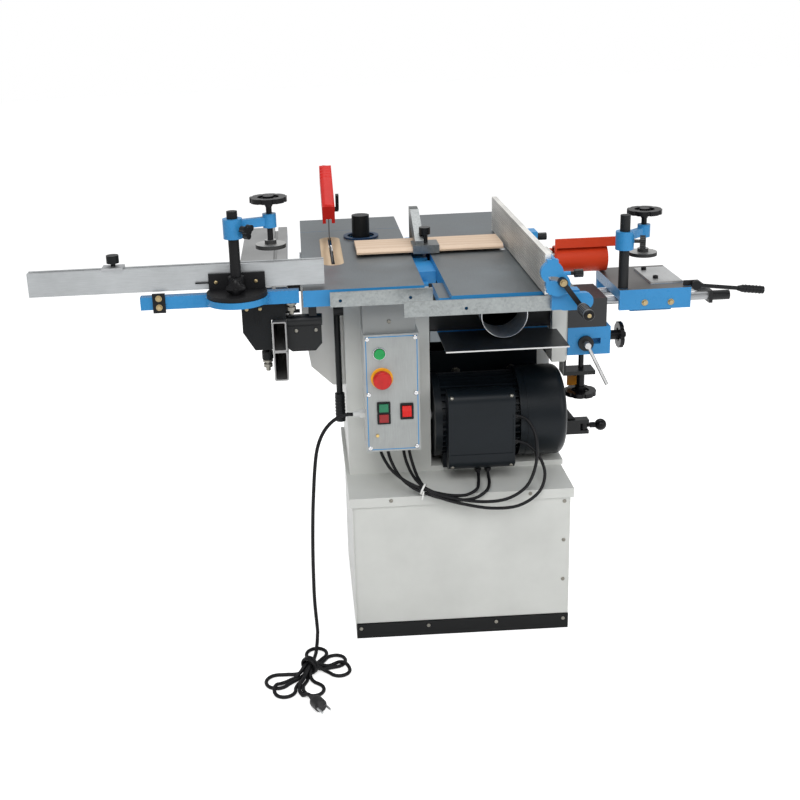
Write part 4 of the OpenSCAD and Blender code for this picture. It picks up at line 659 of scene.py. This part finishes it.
def clampArmFinish(name, post, turn):
    # blue casting; the black knob points to the side of the arm
    f = Finish(name)
    a = math.radians(turn - knobTurn)
    dx, dy = f.x - post[0], f.y - post[1]
    out = dx * math.cos(a) + dy * math.sin(a)
    side = dy * math.cos(a) - dx * math.sin(a)
    knob = (out > 0.0203) & (abs(side) < 0.021)
    return joinLooks(f, paintLook(f, azure, 0.26), (knob, plasticLook(f, black)))


dress("left_clamp_arm", clampArmFinish("leftArmPaint", (-0.461, -0.236), 19))
dress("right_clamp_arm", clampArmFinish("rightArmPaint", (0.381, -0.070), 43))

f = Finish("glossBlack")
dress("left_clamp_screw right_clamp_screw lift_wheel side_wheel ball_lever",
      joinLooks(f, plasticLook(f, (0.005, 0.005, 0.006), 0.24), shine=0.18))

f = Finish("padRubber")
padTop = f.nz > facesSquare
dress("left_clamp_pad right_clamp_pad", joinLooks(
    f, rubberLook(f, (0.022, 0.022, 0.022)), (padTop, groundLook(f, (0.5, 0.5, 0.49), "x", 0.35))))

f = Finish("mortiseLiftPaint")
casting = f.z < 0.6761
dress("mortise_lift", joinLooks(
    f, paintLook(f, (0.03, 0.031, 0.033), 0.42), (casting, paintLook(f, azure, 0.28))))

f = Finish("chromeRod")
saddle = (f.x > 0.3999) & (f.x < 0.4921)
endBlock = f.x > 0.5799
dress("mortise_rods", joinLooks(
    f, groundLook(f, (0.36, 0.37, 0.38), "x", 0.34), (saddle, paintLook(f, azure, 0.28)),
    (endBlock, paintLook(f, black))))

f = Finish("mortiseTablePaint")
tableTop = (f.nz > facesSquare) & (f.z > 0.7595)
stop = (f.z > 0.7603) & (f.x > 0.4)
post = (f.z > 0.7603) & ((f.x < 0.4) | ((f.x > 0.5125) & (f.y < -0.0699)))
dress("mortise_table", joinLooks(
    f, paintLook(f, azure, 0.28), (tableTop, groundLook(f, (0.18, 0.174, 0.171), "x", 0.4)),
    (stop, groundLook(f, (0.56, 0.57, 0.57), "y", 0.36)), (post, crinkleLook(f, black))))

f = Finish("lockSteel")
dress("lock_lever", joinLooks(f, zincLook(f, (0.5, 0.5, 0.5)), (f.y > -0.0884, paintLook(f, black))))

f = Finish("greenCap")
dress("start_button", joinLooks(f, plasticLook(f, (0.012, 0.30, 0.075), 0.24)))
f = Finish("darkGreen")
dress("on_button", joinLooks(f, plasticLook(f, (0.02, 0.16, 0.08), 0.3)))

f = Finish("redCap")
dress("estop_button rocker_switch", joinLooks(f, plasticLook(f, (0.55, 0.016, 0.014), 0.22)))
f = Finish("darkRed")
dress("off_button", joinLooks(f, plasticLook(f, (0.28, 0.02, 0.022), 0.3)))

# Broken edges: a narrow bevel on pieces whose photographed edges catch the light
softEdges = {
    "width": 0.0013, "segments": 2, "angle": 55,
    "pieces": "base_cabinet front_panel control_box fence_carriage left_clamp_arm right_clamp_arm"
              " mortise_table mortise_lift chuck_guards saw_guard bridge_guard crosscut_fence mitre_gauge"}


def softenEdges(e):
    for name in e["pieces"].split():
        bevel = nodes[name].modifiers.new("softEdges", "BEVEL")
        bevel.width = e["width"]
        bevel.segments = e["segments"]
        bevel.limit_method = "ANGLE"
        bevel.angle_limit = math.radians(e["angle"])
        bevel.harden_normals = True


softenEdges(softEdges)
print("solids dressed")


# Small fittings: turned profiles, plates, frames and bands, in millimetres until they are gathered

def turnedForm(at, out, profile, sides=20, lobes=0, depth=0.0):
    # (height, radius) pairs turned round the axis; the radius swells by depth times cos(lobes x angle)
    out, u, v = squareTo(out)
    h, r = np.asarray(profile, float).T
    a = np.linspace(0, 2 * np.pi, sides, endpoint=False) + np.pi / sides
    ring = (np.cos(a)[:, None] * u + np.sin(a)[:, None] * v) * (1 + depth * np.cos(lobes * a))[:, None]
    at = np.asarray(at, float)
    rows = at + h[:, None, None] * out + r[:, None, None] * ring
    return np.vstack([rows.reshape(-1, 3), at + h[0] * out, at + h[-1] * out]), cappedFaces(len(h), sides)


def roundedLoop(size, radius, perCorner=5):
    # the four corner arcs of a rectangle in turn
    w, h = size
    quarter = np.arange(4)[:, None] * np.pi / 2 + np.linspace(0, np.pi / 2, perCorner)
    x = np.array([1, -1, -1, 1])[:, None] * (w / 2 - radius) + radius * np.cos(quarter)
    y = np.array([1, 1, -1, -1])[:, None] * (h / 2 - radius) + radius * np.sin(quarter)
    return np.stack([x, y], -1).reshape(-1, 2)


def onFace(at, out, up, loops, heights):
    # flat loops set at heights over a face whose outward and upward directions are given
    out, up = unit(out), unit(up)
    right = np.cross(up, out)
    loops = np.asarray(loops)
    lift = np.asarray(heights, float)[:, None, None]
    return np.asarray(at, float) + loops[..., :1] * right + loops[..., 1:] * up + lift * out


def plateForm(at, out, up, size, radius, rise, bevel=0.6):
    # rounded plate with a bevelled rim
    inner = tuple(s - 2 * bevel for s in size)
    wall, rim = roundedLoop(size, radius), roundedLoop(inner, radius - bevel)
    rows = onFace(at, out, up, [wall, wall, rim], [0, rise - bevel, rise])
    ends = np.stack([rows[0].mean(0), rows[-1].mean(0)])
    return np.vstack([rows.reshape(-1, 3), ends]), cappedFaces(3, rows.shape[1])


def frameForm(at, out, up, outer, inner, radius, rise):
    # plate with a window: outer wall, rim and inner wall
    wall, window = roundedLoop(outer, radius), roundedLoop(inner, radius / 2)
    rows = onFace(at, out, up, [wall, wall, window, window], [0, rise, rise, 0])
    return rows.reshape(-1, 3), gridFaces(4, rows.shape[1], True)


towardsUser = (0, -1, 0)
upward, downward = (0, 0, 1), (0, 0, -1)
leftward, rightward = (-1, 0, 0), (1, 0, 0)

# Profiles as (height, radius) pairs
profiles = {
    "panHead": [(0, 4.2), (1.2, 4.2), (2.1, 3.5), (2.6, 2.2), (2.7, 1.4), (1.8, 1.2)],
    "washer": [(0, 9), (1.3, 9), (1.7, 8.6)],
    "hexHead": [(1.6, 6.6), (5.6, 6.6), (6.3, 5.9)],
    "socketHead": [(0, 6), (5.2, 6), (6, 5.3), (6, 3.3), (3, 3.1)],
    "rollerPin": [(0, 5), (3, 5), (3, 11), (7, 11), (8, 9), (8, 6), (12, 6), (12, 9.5), (19, 9.5), (19, 5),
                  (27, 5), (28, 4)],
    "gland": [(0, 7.5), (5, 7.5), (6, 6.2), (9, 5.6), (9, 3.4)],
    "gripEnd": [(0, 10.6), (1.4, 10.4), (2.6, 9.2), (3, 7)],
    "starKnob": [(0, 7), (6, 7), (7, 15), (9, 17), (17, 17), (20, 14), (21.5, 7), (21.5, 5), (20, 4)],
    "gaugePin": [(0, 1.7), (27, 1.7), (27.6, 1.2)],
    "stopDisc": [(0, 24), (1.6, 24), (2.3, 23.2), (2.3, 10.6), (0.6, 10.4)],
}


def turned(profile, places, out, sides=20, scale=1.0):
    return [turnedForm(at, out, np.array(profiles[profile]) * scale, sides) for at in places]


def panScrews(places, out=towardsUser, scale=1.0):
    return turned("panHead", places, out, scale=scale)


def hexBolts(places, scale):
    # a washer and a six-sided head at each place
    forms = []
    for at in places:
        forms += turned("washer", [at], towardsUser, 28, scale)
        forms += turned("hexHead", [at], towardsUser, 6, scale)
    return forms


f = Finish("screwSteel")
screwSteel = joinLooks(f, zincLook(f, (0.25, 0.24, 0.21), 0.3))
f = Finish("brassFitting")
brassFitting = joinLooks(f, groundLook(f, (0.42, 0.33, 0.18), "y", 0.32))
f = Finish("blackFitting")
blackFitting = joinLooks(f, plasticLook(f, (0.006, 0.006, 0.007), 0.3), shine=0.18)
f = Finish("yellowDisc")
yellowDisc = joinLooks(f, plasticLook(f, (0.80, 0.36, 0.02), 0.34))
f = Finish("chromeTrim")
chromeTrim = joinLooks(f, groundLook(f, (0.62, 0.63, 0.64), "z", 0.18))
f = Finish("paleStrap")
paleStrap = joinLooks(f, plasticLook(f, (0.72, 0.72, 0.70), 0.4))
f = Finish("orangePlate")
orangePlate = joinLooks(f, paintLook(f, (0.62, 0.24, 0.02), 0.4))

# Screws on the two sloping shoulders of the terminal box
terminalSet = {"x": (-14, 117), "middle": (406, 542), "out": 24, "back": -148, "slope": (0, -0.812, 0.583)}


def terminalScrews(t):
    forms = []
    for x in t["x"]:
        for z, side in zip(t["middle"], (-1, 1)):
            slope = np.array(t["slope"]) * (1, 1, side)
            forms += panScrews([np.array([x, t["back"], z]) + t["out"] * slope], slope)
    return forms


cabinetScrews = [
    (-156, -216, 342), (151, -216, 342), (228, -212, 318), (228, -212, 223), (228, -212, 125),
    (-232, -214, 25), (-78, -214, 25), (77, -214, 25), (230, -214, 25), (-148, -180, 742), (-345, -172, 729),
    (-303, -172, 729)]
panelScrews = [(x, -192, z) for z in (708, 583, 459) for x in (-196, -94)]
glandsBelow = [(-172, -150.2, 452), (-156, -150.2, 452), (-121, -150.2, 452), (-109, -150.2, 452),
               (45, -151, 382), (67, -151, 382)]
glandsBeside = [(125, -152.4, 502), (125, -153.4, 442)]

# Each fitting: its piece, finish, body and slot, and its forms
fittings = [
    ("standScrews", screwSteel, "stand", "zinc",
     terminalScrews(terminalSet) + panScrews(cabinetScrews)
     + hexBolts([(26, 66, 537), (159, 66, 537), (182, 66, 533)], 1.2)),
    ("brightTrim", chromeTrim, "stand", "zinc",
     [ringForm((-171, -193.2, 675), towardsUser, 13.4, 1.4, flat=1.3),
      ringForm((104, -149.4, 733.5), towardsUser, 49.6, 0.9)] + panScrews(panelScrews, scale=1.25)),
    ("stopDisc", yellowDisc, "stand", "panel_face", turned("stopDisc", [(-167, -192, 619)], towardsUser, 48)),
    ("switchFrames", blackFitting, "stand", "black_plastic",
     [frameForm((-165, -192, 552.5), towardsUser, upward, (29, 26), (21, 19), 2, 3),
      frameForm((-165, -192, 527), towardsUser, upward, (29, 25), (21, 19), 2, 3),
      frameForm((-115, -192, 542), towardsUser, upward, (29, 37), (22, 28), 2.5, 2.6)]),
    ("leadGlands", blackFitting, "stand", "black_plastic",
     turned("gland", glandsBelow, downward, 12) + turned("gland", glandsBeside, rightward, 12)),
    ("leadStrap", paleStrap, "stand", "box_paint",
     [ringForm((-86, -227, 371), (0.86, -0.38, -0.34), 12, 0.9, 32, 8, 2.4),
      plateForm((-88, -236, 360), (0.1, -1, 0.2), (0.2, 0.2, 1), (3.6, 20), 1.2, 1.1, 0.3)]),
    ("scalePlate", orangePlate, "stand", "blue_paint",
     [plateForm((284, -27.9, 545.5), (0, 1, 0), upward, (26, 48), 2, 1.6)]),
    ("mitreScrews", brassFitting, "mitre_gauge", "zinc",
     panScrews([(-503.8, -218.3, 854.8), (-422.2, -218.3, 853.9)])),
    ("postKnob", blackFitting, "mitre_gauge", "black_plastic",
     [turnedForm((-461, -251.5, 852), towardsUser, profiles["starKnob"], 60, lobes=4, depth=0.16)]
     + turned("gaugePin", [(-519, -215.3, 854)], leftward, 12)),
    ("endPlateBolts", brassFitting, "carriage", "zinc",
     hexBolts([(-623, -225, 828), (-623, -225, 809)], 0.75)
     + panScrews([(-446, -192, 787), (-418, -192, 787), (-356, -192, 787)])),
    ("rollerPins", screwSteel, "carriage", "zinc",
     turned("rollerPin", [(-408.5, -174, 672.2), (-352, -200, 802.8)], downward, 24)),
    ("tableBolts", brassFitting, "mortise_table", "zinc",
     hexBolts([(425, -90, 729.5), (483, -90, 728.5)], 0.8)),
    ("stopPlateBolts", blackFitting, "mortise_table", "black_plastic",
     turned("socketHead", [(466, 63, 765), (469, -18, 765)], upward, 24)),
    ("crankNut", brassFitting, "crank_lever", "zinc",
     hexBolts([(176, -380.3, 861.2)], 0.8) + panScrews([(214, -434.4, 809.2)])),
    ("crankEnd", blackFitting, "crank_lever", "black_plastic",
     turned("gripEnd", [(214, -432.2, 809.2)], towardsUser, 28)),
]

# Crown of the saw guard, in its tilted frame: a ridge along the top and ribs across the far end
guardCrown = {
    "at": (-256, 253, 898), "tilt": 22, "foot": 31, "ends": (-24.5, 164), "rows": 120, "fade": 3,
    "across": (-14.8, -14.6, -13.6, -6.5, -5, 2, 9, 13, 14.2, 14.6),
    "rise": (0, 0.9, 1.9, 4.6, 4.6, 3.8, 2.9, 2.3, 1.4, 0),
    "ribs": (108, 122, 136, 150), "ribHigh": 1.4, "ribHalf": 2.6, "sink": 0.5,
}


def makeGuardCrown(g):
    # each row is the ridge's section, raised at a rib by a bell curve, low at both ends and flat below
    y = np.linspace(*g["ends"], g["rows"])[:, None]
    rise = np.array(g["rise"], float)
    rib = g["ribHigh"] * np.exp(-((y - np.array(g["ribs"])) / g["ribHalf"]) ** 2).sum(1, keepdims=True)
    fade = np.sqrt(np.clip(np.minimum(y - y[0], y[-1] - y) / g["fade"], 0, 1))
    top = fade * (rise + rib * np.minimum(rise, 1))
    x = np.append(g["across"], [g["across"][-1], g["across"][0]]) + 0 * y
    z = g["foot"] + np.hstack([top, np.full((len(y), 2), -g["sink"])])
    a = math.radians(g["tilt"])
    rows = np.stack([x, y * math.cos(a) - z * math.sin(a), y * math.sin(a) + z * math.cos(a)], -1) + g["at"]
    ends = np.stack([rows[0].mean(0), rows[-1].mean(0)])
    form = np.vstack([rows.reshape(-1, 3), ends]), cappedFaces(*rows.shape[:2])
    makePiece("guardCrown", *gather([form]), guardGloss, "saw_guard", "guard_red")


# Raised rings along each grip: the first one's place, the direction, the rings' radius and their number
gripRings = {
    "pitch": 8, "half": 1.1,
    "grips": {"lift_lever": ((-255, -64, 486), upward, 10.8, 7),
              "crank_lever": ((214, -391, 809.2), towardsUser, 10.8, 5),
              "table_lever": ((650.2, -83.3, 748.4), (0.9925, 0, -0.1219), 8.3, 5)},
}


def makeGripRings(g):
    for body, (at, along, radius, count) in g["grips"].items():
        places = at + np.arange(count)[:, None] * g["pitch"] * np.array(along, float)
        forms = [ringForm(place, along, radius, g["half"], 32, 8) for place in places]
        makePiece(body.split("_")[0] + "GripRings", *gather(forms), blackFitting, body, "black_plastic")


for name, finish, body, slot, forms in fittings:
    makePiece(name, *gather(forms), finish, body, slot)
makeGuardCrown(guardCrown)
makeGripRings(gripRings)
print("fittings made")


# Floor, world and lamps

studio = {
    "floorColour": (0.86, 0.86, 0.86, 1), "floorRough": 0.8, "floorGlow": 0.62, "floorReach": 14,
    "floorDrop": 0.0004, "skyLight": 0.42, "skyGloss": 0.2,
    "lamps": [("keyLamp", (-0.5, -2.8, 3.2), (-0.1, 0, 0.6), 2.2, 70),
              ("fillLamp", (2.5, -2.3, 1.9), (0.1, 0, 0.6), 2.0, 30),
              ("topLamp", (0.2, 0.9, 3.4), (0, 0, 0.6), 2.4, 46)],
}


def rayKinds(start):
    outputs = start.node("ShaderNodeLightPath").socket.node.outputs
    kinds = ("Is Camera Ray", "Is Glossy Ray", "Is Transmission Ray")
    return [Wire(start.tree, outputs[kind]) for kind in kinds]


def makeFloor(s):
    material = bpy.data.materials.new("paleFloor")
    material.use_nodes = True
    tree = material.node_tree
    shader = tree.nodes["Principled BSDF"]
    shader.inputs["Base Color"].default_value = s["floorColour"]
    shader.inputs["Roughness"].default_value = s["floorRough"]
    start = Wire(tree, None)
    camera, glossy, through = rayKinds(start)
    strength = (camera | glossy | through) * s["floorGlow"]
    glow = start.node("ShaderNodeEmission", Color=(1, 1, 1, 1), Strength=strength)
    both = start.node("ShaderNodeAddShader", i0=Wire(tree, shader.outputs[0]), i1=glow)
    tree.links.new(both.socket, tree.nodes["Material Output"].inputs["Surface"])
    side = np.array([-1, 1]) * s["floorReach"]
    x, y = np.meshgrid(side, side, indexing="ij")
    corners = np.stack([x.ravel(), y.ravel(), np.full(4, -s["floorDrop"])], -1)
    mesh = bpy.data.meshes.new("floor")
    mesh.from_pydata(corners.tolist(), [], [[0, 2, 3, 1]])
    mesh.materials.append(material)
    floor = bpy.data.objects.new("floor", mesh)
    bpy.context.scene.collection.objects.link(floor)


def makeWorld(s):
    world = bpy.data.worlds.new("studioWorld")
    world.use_nodes = True
    bpy.context.scene.world = world
    tree = world.node_tree
    start = Wire(tree, None)
    camera, glossy, through = rayKinds(start)
    sky = tree.nodes["Background"]
    sky.inputs["Color"].default_value = (1, 1, 1, 1)
    level = start.node("ShaderNodeMix", {"data_type": "FLOAT"}, i0=camera | through,
                       i2=s["skyLight"] + glossy * s["skyGloss"], i3=1.0)
    tree.links.new(level.socket, sky.inputs["Strength"])


def makeLamps(s):
    for name, place, aim, size, power in s["lamps"]:
        lamp = bpy.data.lights.new(name, "AREA")
        lamp.size = size
        lamp.energy = power
        holder = bpy.data.objects.new(name, lamp)
        back = unit(np.array(place) - np.array(aim))
        across = unit(np.cross([0, 0, 1], back))
        holder.matrix_world = placed(across, np.cross(back, across), back, place)
        bpy.context.scene.collection.objects.link(holder)


makeFloor(studio)
makeWorld(studio)
makeLamps(studio)
bpy.context.scene.view_settings.view_transform = "Standard"
print("studio lit")
